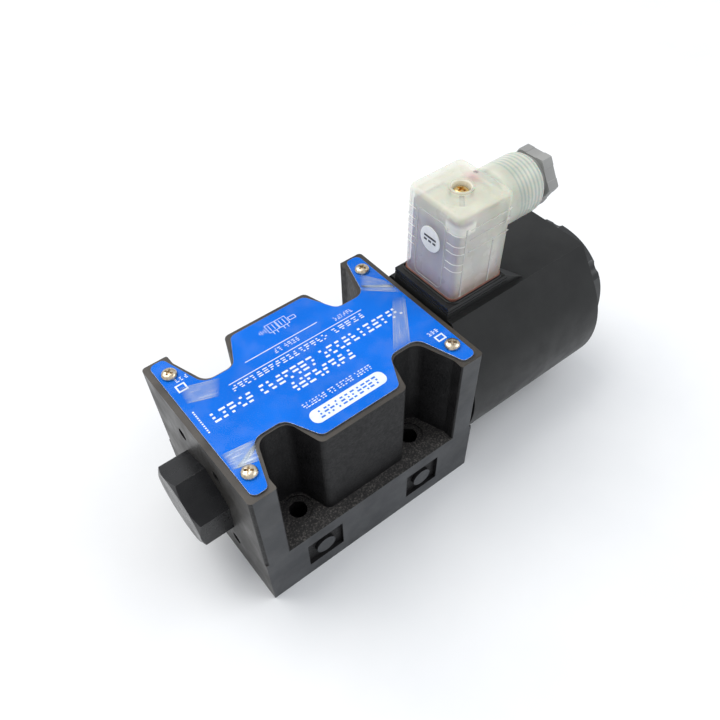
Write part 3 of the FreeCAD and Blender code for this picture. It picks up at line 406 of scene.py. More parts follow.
def ledge_iron():
    """Sand skin of the bolt ledges, with painted glints: bright specks in the colour, with lower
    roughness, stand for light caught on the grain tops.
    """
    paint = Paint("ledge_iron", Specular_IOR_Level=0.6)
    # Painted glints: the specks are bright colour standing for light on the grain tops.
    glint_specks = paint.remap(paint.noise(0.6 * MM, 3, 0.65), 0.5, 0.68)
    paint.put("Base Color", paint.blend(glint_specks, (0.011, 0.010, 0.010), (0.13, 0.12, 0.11)))
    paint.put("Roughness", paint.remap(glint_specks, 0.0, 1.0, 0.6, 0.34))
    grains = paint.noise(0.6 * MM, 4, 0.7)
    return paint.put("Normal", paint.bump(grains, 0.16 * MM, 0.9)).material


def worn(name, roughness, size, low, high, dark, light, height):
    """Edges where a black finish is rubbed through to bare metal."""
    paint = Paint(name, Metallic=0.5, Roughness=roughness)
    bare = paint.remap(paint.noise(size, 5, 0.7), low, high)
    paint.put("Base Color", paint.blend(bare, dark, light))
    return paint.grained(0.4 * MM, 3, height, 0.6)


def blue_enamel():
    """Printed blue metal plate."""
    paint = Paint("blue_enamel", Roughness=0.36, Specular_IOR_Level=0.035)
    paint.mottled((0.002, 0.124, 0.60), (0.004, 0.152, 0.70), 26 * MM)
    return paint.grained(3 * MM, 3, 0.01 * MM, 0.5)


def plate_metal():
    """Cut edge of the nameplate."""
    paint = Paint("plate_metal", Metallic=1.0)
    paint.mottled((0.30, 0.34, 0.42), (0.50, 0.55, 0.62), 2 * MM)
    paint.scuffed(0.3, 0.45, 1 * MM)
    return paint.grained(0.3 * MM, 3, 0.01 * MM, 0.6)


def ink(name, dark, light):
    """Screen-printed ink, a little thin in places."""
    paint = Paint(name)
    paint.mottled(dark, light, 2.5 * MM)
    paint.scuffed(0.3, 0.45, 2 * MM)
    return paint.grained(0.4 * MM, 3, 0.005 * MM, 0.5)


def zinc():
    """Zinc plating with a faint yellow passivation."""
    paint = Paint("zinc_yellow", Metallic=1.0)
    paint.mottled((0.46, 0.36, 0.24), (0.78, 0.70, 0.56), 0.9 * MM)
    paint.scuffed(0.2, 0.38, 0.8 * MM)
    return paint.grained(0.25 * MM, 3, 0.01 * MM, 0.6)


def black_oxide():
    """Satin black oxide on turned and milled steel."""
    paint = Paint("black_oxide", Specular_IOR_Level=0.34)
    paint.mottled((0.004, 0.004, 0.005), (0.012, 0.012, 0.013), 8 * MM)
    paint.scuffed(0.22, 0.36, 7 * MM)
    lines = paint.noise(0.3 * MM, 2, stretch=(0.06, 1, 1))
    return paint.put("Normal", paint.bump(lines, 0.012 * MM, 0.6)).material


def plastic(name, dark, light, low, high, gloss=0.4):
    """Moulded plastic with a fine spark-eroded grain."""
    paint = Paint(name, Specular_IOR_Level=gloss)
    paint.mottled(dark, light, 12 * MM)
    paint.scuffed(low, high)
    return paint.grained(0.5 * MM, 4, 0.02 * MM, 0.7)


def rubber(name, dark, light):
    paint = Paint(name)
    paint.mottled(dark, light, 4 * MM)
    paint.scuffed(0.5, 0.7, 3 * MM)
    return paint.grained(0.6 * MM, 3, 0.02 * MM, 0.6)


def metal(name, dark, light, low=0.22, high=0.4):
    """Turned metal: fine rings round the part."""
    paint = Paint(name, Metallic=1.0)
    paint.mottled(dark, light, 9 * MM)
    paint.scuffed(low, high, 6 * MM)
    rings = paint.noise(0.25 * MM, 2, stretch=(1, 0.05, 0.05))
    return paint.put("Normal", paint.bump(rings, 0.012 * MM, 0.6)).material


def wound_copper():
    """Enamelled wire: turns side by side along X."""
    paint = Paint("wound_copper", Metallic=1.0)
    paint.mottled((0.42, 0.16, 0.07), (0.62, 0.27, 0.13), 5 * MM)
    paint.scuffed(0.24, 0.36)
    turns = paint.math("SINE", paint.math("MULTIPLY", paint.axis("x"), 2 * pi / (0.8 * MM)))
    return paint.put("Normal", paint.bump(turns, 0.12 * MM, 0.8)).material


def hood_cast(paint):
    """Cream, turning brown over the seal at its foot and violet over the insert."""
    drift = paint.remap(paint.noise(16 * MM, 5), 0.3, 0.7)
    cream = paint.blend(drift, (0.74, 0.75, 0.62), (0.86, 0.86, 0.74))
    foot = paint.remap(paint.axis("z"), HOOD_FOOT, HOOD_FOOT + 8 * MM, 0.6, 0.0)
    cast = paint.blend(foot, cream, (0.50, 0.26, 0.17))
    inside = paint.remap(paint.axis("z"), LID - 9 * MM, LID - 6 * MM, 0.5, 0.0)
    front = paint.remap(paint.axis("x"), HOOD_FRONT + 0.3 * MM, HOOD_FRONT + 1 * MM, 1.0, 0.25)
    return paint.blend(paint.math("MULTIPLY", inside, front), cast, (0.50, 0.46, 0.62))


def lamp_tint(paint, under):
    """The lamp seen through the lid: a dark dot with a pink glow beside it."""
    low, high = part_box("indicator_lamp")
    x = (low.x + high.x) / 2 + 0.4 * MM
    y = (low.y + high.y) / 2 - 0.9 * MM
    glow = paint.math("MULTIPLY", 0.55, paint.near(x - 2.4 * MM, y - MM, 4.5 * MM))
    pink = paint.blend(glow, under, (0.86, 0.36, 0.44))
    dot = paint.remap(paint.near(x, y, 1.3 * MM), 0.15, 0.6, 0.0, 0.85)
    lid = paint.remap(paint.axis("z"), LID - 1.2 * MM, LID - 0.8 * MM)
    return paint.blend(paint.math("MULTIPLY", dot, lid), pink, (0.16, 0.02, 0.05))


def thread_rings(paint):
    """One over each turn of the thread inside the sleeve, zero between them."""
    turns = paint.math("SINE", paint.math("MULTIPLY", paint.axis("x"), 2 * pi / THREAD))
    threaded = paint.remap(paint.axis("x"), HOOD_REAR + 6 * MM, HOOD_REAR + 7 * MM)
    return paint.math("MULTIPLY", paint.remap(turns, -0.6, 0.9), threaded)


def block_patch(paint):
    """One over the solid block in the front near corner, zero away from it."""
    over = paint.remap(paint.near(BLOCK.x, BLOCK.y, 5.4 * MM), 0.0, 0.06)
    above = paint.remap(paint.axis("z"), LID - 8.0 * MM, LID - 6.8 * MM)
    below = paint.remap(paint.axis("z"), LID - 4.4 * MM, LID - 3.0 * MM, 0.8, 0.0)
    return paint.math("MULTIPLY", paint.math("MULTIPLY", above, below), over)


def milky():
    """Cloudy translucent plastic, with what shows through it, and the thread rings of the sleeve as
    painted shade.
    """
    paint = Paint("hood_milky", Subsurface_Weight=0.3, Subsurface_Scale=3 * MM,
                  Specular_IOR_Level=0.45)
    lit = lamp_tint(paint, hood_cast(paint))
    rings = thread_rings(paint)
    # Painted shade: the thread rings are drawn darker teal, standing for the shaded grooves seen
    # through the sleeve.
    threads = paint.blend(paint.math("MULTIPLY", rings, 0.7), lit, (0.33, 0.42, 0.40))
    block = block_patch(paint)
    paint.put("Base Color", paint.blend(block, threads, (0.90, 0.90, 0.80)))
    paint.scuffed(0.24, 0.34, 10 * MM)
    thin = paint.remap(paint.noise(16 * MM, 2), 0.3, 0.7, 0.38, 0.46)
    sleeve = paint.remap(paint.axis("x"), HOOD_REAR, HOOD_REAR + 2 * MM, 0.0, 0.24)
    solid = paint.math("MULTIPLY", block, 0.35)
    covers = paint.math("ADD", paint.math("ADD", thin, sleeve), solid)
    paint.put("Alpha", paint.math("ADD", covers, paint.math("MULTIPLY", rings, 0.1)))
    return paint.grained(2 * MM, 2, 0.012 * MM, 0.5)


def cloudy(name, dark, light, alpha):
    """Thicker places in the hood: ribs, the screw boss and the threads look more solid."""
    paint = Paint(name, Alpha=alpha, Specular_IOR_Level=0.5)
    paint.mottled(dark, light, 5 * MM)
    paint.scuffed(0.22, 0.34, 6 * MM)
    return paint.grained(1.5 * MM, 2, 0.01 * MM, 0.5)


def film_clear():
    """Protective film where it lies flat: almost unseen, with a slow ripple in its gloss."""
    paint = Paint("film_clear", Roughness=0.1, Specular_IOR_Level=0.5)
    paint.mottled((0.62, 0.78, 0.97), (0.86, 0.93, 1.0), 5 * MM)
    paint.put("Alpha", paint.remap(paint.noise(9 * MM, 4), 0.45, 0.8, 0.003, 0.035))
    return paint.grained(11 * MM, 3, 0.12 * MM, 0.5)


def film_lifted(name, haze, streak):
    """The film where it has lifted: a hazy band with bright streaks along it and bright edges,
    painted into colour and alpha as reflections of light off the curved film.
    """
    paint = Paint(name, Roughness=0.2, Specular_IOR_Level=0.6).along_strip()
    paint.mottled((0.50, 0.70, 0.98), (0.95, 0.97, 1.0), 0.4)
    # Painted reflection: the whitish streaks and the lighter edges stand for light reflected off
    # the curved film.
    lines = paint.remap(paint.noise(0.5, 3, 0.6, stretch=(0.5, 3.4, 1)), 0.5, 0.74, haze, streak)
    middle = paint.math("ABSOLUTE", paint.math("SUBTRACT", paint.axis("y"), 0.5))
    border = paint.remap(middle, 0.44, 0.5, 0.0, 0.22)
    ends = paint.math("ABSOLUTE", paint.math("SUBTRACT", paint.axis("x"), 0.5))
    fade = paint.remap(ends, 0.26, 0.5, 1.0, 0.05)
    paint.put("Alpha", paint.math("MULTIPLY", paint.math("ADD", lines, border), fade))
    waves = paint.noise(0.35, 3, 0.6, stretch=(0.6, 2.4, 1))
    return paint.put("Normal", paint.bump(waves, 0.1 * MM, 0.5)).material


def lamp_red():
    paint = Paint("lamp_red", Roughness=0.18)
    paint.mottled((0.05, 0.001, 0.004), (0.10, 0.002, 0.008), 1 * MM)
    return paint.grained(1 * MM, 2, 0.01 * MM, 0.4)


def paper():
    paint = Paint("paper_white", Roughness=0.55)
    paint.mottled((0.70, 0.70, 0.66), (0.82, 0.82, 0.78), 3 * MM)
    return paint.grained(0.3 * MM, 4, 0.01 * MM, 0.6)


# -------- giving pieces their finish

def dress(obj, *materials):
    """Put materials in an object's slots, in order."""
    obj.data.materials.clear()
    for material in materials:
        obj.data.materials.append(material)
    return obj


def place(obj, body, slot, *replaced):
    """Tie a new piece to its body and hide the CAD nodes that it stands for; the slot is not used.
    """
    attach(obj, body)
    if replaced:
        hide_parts(*replaced)
    return obj


# -------- cast body and plug

# Height of the bolt ledges, and how near a face's middle lies to the plane it belongs to
LEDGE = 27.3 * MM
SKIN = 0.05 * MM


def body_finish(face):
    """Slot of a casting face: 0 milled, 1 as cast, 3 rubbed top, 4 spring-end face (a darker copy
    of the milled finish, as painted shade), 5 ledge.
    """
    if face.center.z > BODY_HIGH.z - SKIN:
        return 3
    if face.center.x < BODY_LOW.x + SKIN:
        return 4
    if abs(face.center.z - LEDGE) < 2 * MM and abs(face.normal.z) > 0.9:
        return 5
    milled = (face.center.z < BODY_LOW.z + SKIN or face.center.x > BODY_HIGH.x - SKIN
              or abs(face.center.y) > BODY_HIGH.y - SKIN)
    return 0 if milled else 1


def valve_body():
    """The casting with rounded, rubbed edges; milled and as-cast faces get their own finish."""
    obj = copy_node("valve_body", "valve_body_casting")
    edges = worn("worn_iron", 0.42, 1.6 * MM, 0.38, 0.66, (0.024, 0.021, 0.019),
                 (0.15, 0.128, 0.105), 0.04 * MM)
    # The spring-end face takes a darker, browner copy of the milled finish: painted shade.
    dress(obj, machined_iron(), rough_iron(), edges,
          machined_iron("rubbed_iron", (0.022, 0.018, 0.014), (0.060, 0.050, 0.040)),
          machined_iron("end_iron_shaded", (0.013, 0.012, 0.011), (0.030, 0.027, 0.023)), ledge_iron())
    for face in obj.data.polygons:
        face.material_index = body_finish(face)
    return place(smooth(soften(obj, 0.35 * MM, edge_slot=2)), "valve", "cast_iron_black",
                 "valve_body")


def end_plug():
    edges = worn("worn_oxide", 0.36, 1.5 * MM, 0.4, 0.64, (0.02, 0.02, 0.022),
                 (0.11, 0.10, 0.10), 0.02 * MM)
    obj = dress(copy_node("end_plug", "end_plug_hexagon"), black_oxide(), edges)
    return place(smooth(soften(obj, 0.3 * MM, edge_slot=1, angle=12)), "valve",
                 "black_oxide_steel", "end_plug")


def return_spring():
    """Round-wire helix between the plug pocket and the spool's seat."""
    low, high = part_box("return_spring")
    wire = 0.8 * MM
    turns = 4
    around = 10
    start = low.x + wire
    reach = high.x - wire - start
    radius = (high.z - low.z) / 2 - wire
    steps = 28 * turns
    bm = bmesh.new()
    rings = []
    for step in range(steps + 1):
        turn = 2 * pi * turns * step / steps
        centre = Vector((start + reach * step / steps, radius * cos(turn),
                         SPOOL_AXIS + radius * sin(turn)))
        outward = Vector((0, cos(turn), sin(turn)))
        ring = []
        for index in range(around):
            angle = 2 * pi * index / around
            ring.append(centre + wire * (outward * cos(angle)
                                         + Vector((sin(angle), 0, 0))))
        rings.append(ring)
    add_loft(bm, rings)
    obj = smooth(mesh_object("return_spring_wire", bm), 60)
    dress(obj, metal("spring_wire", (0.30, 0.30, 0.31), (0.44, 0.44, 0.45)))
    place(obj, "valve", "spring_steel", "return_spring")
    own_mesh(obj)
    return obj


# -------- nameplate, print, film, screws

def nameplate():
    obj = dress(copy_node("nameplate", "nameplate_sheet"), blue_enamel(), plate_metal())
    for face in obj.data.polygons:
        face.material_index = 0 if face.normal.z > 0.9 else 1
    return place(soften(obj, 0.12 * MM, edge_slot=1), "valve", "blue_print", "nameplate")


INK_LOW = PLATE_TOP - 0.02 * MM
INK_HIGH = PLATE_TOP + 0.03 * MM


def bar(x0, y0, x1, y1):
    """One printed bar, in millimetres on the plate."""
    return (Vector((x0 * MM, y0 * MM, INK_LOW)), Vector((x1 * MM, y1 * MM, INK_HIGH)))


def row_of_marks(dice, start, end, low, high, words, line):
    """A row of plain marks, grouped like words, between two x places.

    Each mark is a stack of three short dashes, so none is a letter or a number.
    """
    places = []
    pitch = (end - start) / (sum(words) + 0.7 * (len(words) - 1))
    x = start
    for count in words:
        for _ in range(count):
            for share in (0.0, 0.5, 1.0):
                width = pitch * dice.choice((0.3, 0.5, 0.72))
                side = x + (0.72 * pitch - width) * dice.choice((0.0, 0.5, 1.0))
                y = low + share * (high - low - line)
                places.append(bar(side, y, side + width, y + line))
            x += pitch
        x += 0.7 * pitch
    return places


def frame_lines(x0, y0, x1, y1, line=0.28):
    """Outline of a rectangle as four bars."""
    return [bar(x0, y0, x1, y0 + line), bar(x0, y1 - line, x1, y1),
            bar(x0, y0 + line, x0 + line, y1 - line), bar(x1 - line, y0 + line, x1, y1 - line)]


def valve_symbol():
    """Schematic of a two-position valve: two squares with flow paths, a spring and a coil."""
    thin = 0.2
    places = frame_lines(-4.2, 20.4, 0.2, 24.8, thin) + frame_lines(0.4, 20.4, 4.8, 24.8, thin)
    uprights = [(-3.0, 21.2, 24.0), (-1.4, 21.2, 24.0), (1.6, 21.2, 24.0), (3.2, 21.2, 24.0)]
    uprights += [(x, 18.9, 20.3) for x in (-3.0, -1.4, 1.6, 3.2)]
    uprights += [(-5.1 - 0.8 * k, 21.4 + 0.5 * (k % 2), 23.6 - 0.5 * (k % 2)) for k in range(4)]
    places += [bar(x, low, x + thin, high) for x, low, high in uprights]
    return places + frame_lines(5.2, 21.4, 8.2, 23.2, thin)


# Rows of marks on the plate: x from, x to, y from, y to, marks in each word, line width, in mm
PLATE_ROWS = [
    (18.2, 26.6, 10.4, 12.2, (6,), 0.3),
    (-8.0, 3.0, 10.9, 12.9, (2, 4), 0.32),
    (-29.0, 12.0, 5.3, 7.7, (16,), 0.42),
    (14.0, 29.0, 5.3, 7.7, (5,), 0.42),
    (-40.9, 40.9, -2.3, 2.1, (5, 7, 11), 0.85),
    (-13.2, 14.2, -8.2, -3.9, (8,), 0.85),
    (-14.6, 14.6, -16.3, -14.1, (7, 2, 5, 5), 0.36),
    (-42.6, -37.6, 21.3, 23.0, (3,), 0.34),
    (39.6, 44.6, -17.6, -15.9, (3,), 0.34),
]


def plate_print():
    """White print: schematic, ruled lines, rows of marks, and a plain badge."""
    dice = random.Random(7)
    places = valve_symbol()
    places += [bar(-19, 14.0, 12.4, 14.3), bar(-29, 8.8, 29, 9.1)]
    for row in PLATE_ROWS:
        places += row_of_marks(dice, *row)
    places += [bar(-45, 6 - 1.05 * k, -44.4, 6.6 - 1.05 * k) for k in range(11)]
    places += frame_lines(-44.2, 16.6, -40.4, 20.2, 0.6)
    places += frame_lines(40.4, -21.8, 44.2, -18.8, 0.6)
    white = dress(boxes("white_bars", places),
                  ink("white_ink", (0.64, 0.70, 0.82), (0.82, 0.86, 0.92)))
    badge = prism("badge", rounded_rectangle((-15.6 * MM, -24.2 * MM), (15.6 * MM, -18.2 * MM),
                                             2.6 * MM), INK_LOW, INK_HIGH)
    dress(badge, white.data.materials[0])
    above = Vector((0, 0, 0.02 * MM))
    cells = boxes("badge_cells", [
        (low, high + above)
        for low, high in row_of_marks(dice, -12.4, 13.0, -22.9, -19.5, (11,), 0.7)])
    dress(cells, ink("blue_ink", (0.008, 0.13, 0.60), (0.012, 0.17, 0.72)))
    return place(join("plate_print", [white, badge, cells]), "valve", "white_label")


def film_fold(corners, crown, phase):
    """A lifted strip of film over four corner points: arched across, waved along."""
    thick = 0.03 * MM
    along = 24
    across = 10
    start_a, start_b, end_a, end_b = [Vector((x * MM, y * MM, PLATE_TOP + 0.1 * MM))
                                      for x, y in corners]
    bm = bmesh.new()
    uv = bm.loops.layers.uv.new("strip")
    rows = {0: [], 1: []}
    share = {}
    for i in range(along + 1):
        t = i / along
        for layer in (0, 1):
            row = []
            for j in range(across + 1):
                s = j / across
                point = start_a.lerp(end_a, t).lerp(start_b.lerp(end_b, t), s)
                arch = 1 - (2 * s - 1) ** 2
                wave = 0.8 + 0.2 * sin(9 * t + 3 * s + phase)
                vert = bm.verts.new(point + Vector((0, 0, crown * arch * wave + layer * thick)))
                share[vert] = (t, s)
                row.append(vert)
            rows[layer].append(row)
    for layer in (0, 1):
        for first, second in zip(rows[layer], rows[layer][1:]):
            for j in range(across):
                bm.faces.new((first[j], first[j + 1], second[j + 1], second[j]))
    border = [(0, j) for j in range(across)] + [(i, across) for i in range(along)]
    border += [(along, j) for j in range(across, 0, -1)] + [(i, 0) for i in range(along, 0, -1)]
    for (i, j), (k, m) in zip(border, border[1:] + border[:1]):
        bm.faces.new((rows[0][i][j], rows[0][k][m], rows[1][k][m], rows[1][i][j]))
    for face in bm.faces:
        for loop in face.loops:
            loop[uv].uv = share[loop.vert]
    obj = mesh_object("fold", bm)
    obj.data.shade_smooth()
    return obj


# Lifted strips of the film: two corners at one end and two at the other, in mm, crown, and how
# strong the painted reflection on it is
FOLDS = [
    (((-46.6, -14.4), (-46.6, -21.6), (-34.6, -16.0), (-37.6, -24.0)), 0.34, "bright"),
    (((-44.6, -21.4), (-43.8, -23.2), (-35.6, -17.4), (-36.6, -19.4)), 0.36, "bright"),
    (((40.6, 24.6), (35.2, 17.4), (46.8, 14.4), (46.8, 6.6)), 0.34, "hazy"),
    (((36.6, 19.6), (37.6, 17.6), (46.2, 12.6), (46.6, 10.2)), 0.36, "bright"),
    (((24.6, -15.2), (31.6, -16.4), (41.8, 6.0), (46.8, 4.6)), 0.2, "hazy"),
    (((-43.6, 18.8), (-44.6, 11.0), (-29.6, 13.6), (-34.0, 6.8)), 0.24, "hazy"),
]


def protective_film():
    """The clear film: a flat sheet and the strips where it has lifted and creased."""
    finishes = {"bright": film_lifted("film_crease_reflection", 0.2, 0.8),
                "hazy": film_lifted("film_haze_reflection", 0.12, 0.34)}
    sheet = dress(copy_node("nameplate_film", "film_sheet"), film_clear())
    for vert in sheet.data.vertices:
        vert.co.z = max(vert.co.z, PLATE_TOP + 0.05 * MM)
    parts = [sheet]
    for index, (corners, crown, look) in enumerate(FOLDS):
        fold = film_fold(corners, crown * MM, 1.7 * index)
        parts.append(dress(fold, finishes[look]))
    return place(join("protective_film", parts), "valve", "clear_film", "nameplate_film")


def cross_points(x, y, length, width, turn):
    """Twelve corners of a plus sign, turned by an angle."""
    a, b = length / 2, width / 2
    local = [(a, -b), (a, b), (b, b), (b, a), (-b, a), (-b, b), (-a, b), (-a, -b), (-b, -b),
             (-b, -a), (b, -a), (b, -b)]
    c, s = cos(turn), sin(turn)
    return [(x + u * c - v * s, y + u * s + v * c) for u, v in local]


def cross_head_screw(x, y, seat, radius, height, shank, depth, cross, turn):
    """Pan-head screw with a tapered cross recess; seat is the underside of the head."""
    crown = [(0.0, 0.96), (0.22, 1.0), (0.55, 0.95), (0.8, 0.8), (0.95, 0.52), (1.0, 0.25)]
    profile = [(-depth, 0), (-depth, shank), (0, shank)]
    profile += [(share * height, part * radius) for share, part in crown]
    profile += [(height, 0)]
    obj = lathe("screw", profile, (x, y, seat), "z", 48)
    top = seat + height
    wide = cross_points(x, y, cross, 0.26 * cross, turn)
    narrow = cross_points(x, y, 0.55 * cross, 0.16 * cross, turn)
    recess = loft("recess", [[(u, v, top - 1.1 * MM) for u, v in narrow],
                             [(u, v, top + 0.1 * MM) for u, v in wide]])
    return smooth(combine(obj, recess, "DIFFERENCE"), 35)


def nameplate_screws():
    low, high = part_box("nameplate_screws")
    radius = 2.9 * MM
    dice = random.Random(3)
    finish = zinc()
    parts = []
    for x in (high.x - radius, low.x + radius):
        for y in (high.y - radius, low.y + radius):
            screw = cross_head_screw(x, y, PLATE_TOP, radius, high.z - PLATE_TOP, 1.5 * MM,
                                     PLATE_TOP - low.z, 3.5 * MM, dice.uniform(0, pi / 2))
            parts.append(dress(screw, finish))
    return place(join("nameplate_cross_screws", parts), "valve", "yellow_zinc",
                 "nameplate_screws")


# -------- coil and its nut

def coil_moulding():
    """The moulding with soft edges, two grooves round the terminal box and a rim for the gasket;
    the rounded edges get a lighter finish as a painted highlight.
    """
    obj = copy_node("coil_moulding", "coil_body")
    box_rear = HOOD_REAR + 0.5 * MM
    half = 15 * MM
    grooves = []
    for top in (1.5 * MM, 3.0 * MM):
        z = BOX_TOP - top
        outer = prism("outer", rounded_rectangle((COIL_LOW.x - MM, -half - MM),
                                                 (box_rear + MM, half + MM), 0.5 * MM),
                      z - 0.35 * MM, z)
        inner = prism("inner", rounded_rectangle((COIL_LOW.x + 0.35 * MM, 0.35 * MM - half),
                                                 (box_rear - 0.35 * MM, half - 0.35 * MM),
                                                 0.8 * MM), z - MM, z + MM)
        combine(obj, combine(outer, inner, "DIFFERENCE"), "DIFFERENCE")
    rim = 0.95 * MM
    plinth = rounded_block("plinth", (HOOD_FRONT - rim, -HOOD_SIDE - rim),
                           (box_rear - 0.05 * MM, HOOD_SIDE + rim), 3.4 * MM,
                           [(BOX_TOP - MM, 0), (BOX_TOP + 0.45 * MM, 0),
                            (BOX_TOP + 0.62 * MM, 0.2 * MM)])
    window = hood_block("window", 0, 0.4 * MM,
                        [(BOX_TOP, -0.02 * MM), (BOX_TOP + 2 * MM, -0.02 * MM)])
    combine(obj, combine(plinth, window, "DIFFERENCE"), "UNION")
    dress(obj, plastic("coil_black", (0.0075, 0.0078, 0.0078), (0.014, 0.0145, 0.0142), 0.36, 0.5,
                       gloss=0.34),
          # Painted highlight: the lighter finish on the rounded edges stands for light caught on
          # them.
          plastic("coil_edge_highlight", (0.030, 0.031, 0.031), (0.065, 0.065, 0.062), 0.3, 0.45))
    return place(smooth(soften(obj, 0.3 * MM, edge_slot=1), 20), "coil", "coil_plastic",
                 "coil_moulding")


def coil_nut():
    # Painted highlight: the rounded edges take a lighter copy of the black finish.
    obj = dress(copy_node("coil_nut", "coil_hand_nut"),
                plastic("nut_black", (0.012, 0.013, 0.014), (0.026, 0.027, 0.028), 0.3, 0.45),
                plastic("nut_edge_highlight", (0.035, 0.037, 0.040), (0.07, 0.073, 0.078), 0.3, 0.45))
    return place(smooth(soften(obj, 0.4 * MM, edge_slot=1, angle=14)), "nut", "nut_plastic",
                 "coil_nut")


# -------- plug connector

def connector_gasket():
    """Reddish flat gasket with two soft beads that bulge out under the hood."""
    levels = [(0.0, 0.1), (0.06, -0.1), (0.35, -0.28), (0.62, -0.1), (0.72, 0.0), (0.84, -0.12),
              (1.1, -0.3), (1.33, -0.12), (1.4, 0.1)]
    outer = hood_block("connector_seal", 0, CORNER,
                       [(BOX_TOP + z * MM, inset * MM) for z, inset in levels])
    window = hood_block("window", 2 * MM, 1.2 * MM, [(BOX_TOP - MM, 0), (BOX_TOP + 3 * MM, 0)])
    obj = smooth(combine(outer, window, "DIFFERENCE"), 50)
    dress(obj, rubber("gasket_brown", (0.10, 0.030, 0.018), (0.22, 0.070, 0.040)))
    return place(obj, "connector", "gasket_rubber", "connector_gasket")


# Wall of the hood, and radius of its upright edges
WALL = 1.8 * MM
CORNER = 3.2 * MM
# How far below the lid each rib that wraps the two front corners lies, in mm
RIB_DROPS = [7.4, 11.8, 15.0, 19.5, 22.7]
# Width of a raised line, and how far it stands out
LINE = 0.26 * MM
PROUD = 0.2 * MM
# Outer radius of the cable sleeve, and pitch of the thread in it
SLEEVE = 11.3 * MM
THREAD = 1.75 * MM
# Floor of the well that the centre screw sits in
SEAT = SCREW_HIGH.z - 2.9 * MM
# Solid round block inside the front near corner
BLOCK = Vector((HOOD_FRONT + 4.5 * MM, 4.5 * MM - HOOD_SIDE, 0))


def hood_block(name, inset, radius, levels):
    """A rounded block that follows the outline of the hood, drawn in by an inset."""
    return rounded_block(name, (HOOD_FRONT + inset, inset - HOOD_SIDE),
                         (HOOD_REAR - inset, HOOD_SIDE - inset), radius, levels)


def corner_ribs():
    """Thin raised lines that wrap round both front corners of the hood."""
    bm = bmesh.new()
    for drop in RIB_DROPS:
        z = LID - drop * MM
        add_loft(bm, block_rings((HOOD_FRONT, -HOOD_SIDE), (HOOD_REAR, HOOD_SIDE), CORNER,
                                 [(z - LINE / 2, 0.05 * MM), (z - LINE / 4, -PROUD),
                                  (z + LINE / 4, -PROUD), (z + LINE / 2, 0.05 * MM)]))
    bands = mesh_object("bands", bm)
    front = HOOD_FRONT - MM
    back = HOOD_FRONT + 3.4 * MM
    region = boxes("region", [
        ((front, -HOOD_SIDE - MM, HOOD_FOOT), (back, -8 * MM, LID)),
        ((front, 8 * MM, HOOD_FOOT), (back, HOOD_SIDE + MM, LID))])
    return combine(bands, region, "INTERSECT")


def straight_ribs():
    """Raised lines on the sides of the hood, and the short strokes that end the corner ribs."""
    places = []
    for side in (-1, 1):
        low_y, high_y = sorted((side * (HOOD_SIDE + PROUD), side * (HOOD_SIDE - LINE)))
        for drop in (6.3, 10.4, 15.4):
            z = LID - drop * MM
            places.append(((HOOD_FRONT + 5.2 * MM, low_y, z),
                           (HOOD_REAR - 1.4 * MM, high_y, z + LINE)))
        for start, end in ((3.0, 5.2), (16.7, 15.8)):
            x = HOOD_FRONT + start * MM
            places.append(((x, low_y, HOOD_FOOT + 0.6 * MM),
                           (x + 0.7 * MM, high_y, LID - end * MM)))
        stroke_low, stroke_high = sorted((side * 7.9 * MM, side * 8.15 * MM))
        for drop in RIB_DROPS:
            z = LID - drop * MM
            places.append(((HOOD_FRONT - PROUD, stroke_low, z + 0.1 * MM),
                           (HOOD_FRONT + LINE, stroke_high, z + 1.3 * MM)))
    return boxes("lines", places)


def front_arch():
    """Raised outline of the window on the front of the hood."""
    low = (-7.2 * MM, HOOD_FOOT + 1.2 * MM)
    high = (7.2 * MM, LID - 5.6 * MM)
    outer = prism("arch", rounded_rectangle(low, high, 2.2 * MM), HOOD_FRONT - PROUD,
                  HOOD_FRONT + 0.3 * MM, "x")
    inner = prism("arch_inner", rounded_rectangle((low[0] + LINE, low[1] + LINE),
                                                  (high[0] - LINE, high[1] - LINE), 2.0 * MM),
                  HOOD_FRONT - MM, HOOD_FRONT + MM, "x")
    return combine(outer, inner, "DIFFERENCE")


def sleeve_bore(crest, groove):
    """Bore of the cable sleeve with rings of thread inside; the grooves take a darker finish, as
    painted shade.
    """
    radius = 9.0 * MM
    start = HOOD_REAR - WALL - 2 * MM
    profile = [(start, 0), (start, radius)]
    ring = HOOD_REAR + 6.5 * MM
    while ring + THREAD < HOOD_HIGH.x - 0.6 * MM:
        profile += [(ring, radius), (ring + 0.35 * THREAD, radius + 0.75 * MM),
                    (ring + 0.65 * THREAD, radius + 0.75 * MM)]
        ring += THREAD
    profile += [(ring, radius), (HOOD_HIGH.x + 2 * MM, radius), (HOOD_HIGH.x + 2 * MM, 0)]
    bore = dress(lathe("bore", profile, (0, 0, GLAND_AXIS), "x", 96), crest, groove)
    for face in bore.data.polygons:
        away = Vector((0, face.center.y, face.center.z - GLAND_AXIS)).length
        face.material_index = 1 if away > radius + 0.1 * MM else 0
    return bore


def hood_box():
    """Outside of the hood: a block with round upright edges and a rounded lid."""
    top_round = 1.9 * MM
    levels = [(HOOD_FOOT, 0)]
    for step in range(6):
        turn = radians(90 * step / 5)
        levels.append((LID - top_round * (1 - sin(turn)), top_round * (1 - cos(turn))))
    return hood_block("plug_hood", 0, CORNER, levels)


def cable_sleeve():
    """Outside of the sleeve, rounded at its end."""
    end = HOOD_HIGH.x
    rounding = [(end - 2.9 * MM * (1 - sin(a)), SLEEVE - 1.95 * MM * (1 - cos(a)))
                for a in (radians(18 * step) for step in range(6))]
    return lathe("sleeve", [(HOOD_REAR - WALL, 0), (HOOD_REAR - WALL, SLEEVE)] + rounding
                 + [(end, 0)], (0, 0, GLAND_AXIS), "x", 96)


def corner_block():
    """Solid block that hangs under the lid in the front near corner."""
    profile = [(7.6, 0), (7.6, 3.0), (6.8, 4.2), (4.2, 4.2), (4.0, 4.0), (4.0, 0)]
    return lathe("corner_block", [(LID - drop * MM, radius * MM) for drop, radius in profile],
                 BLOCK)


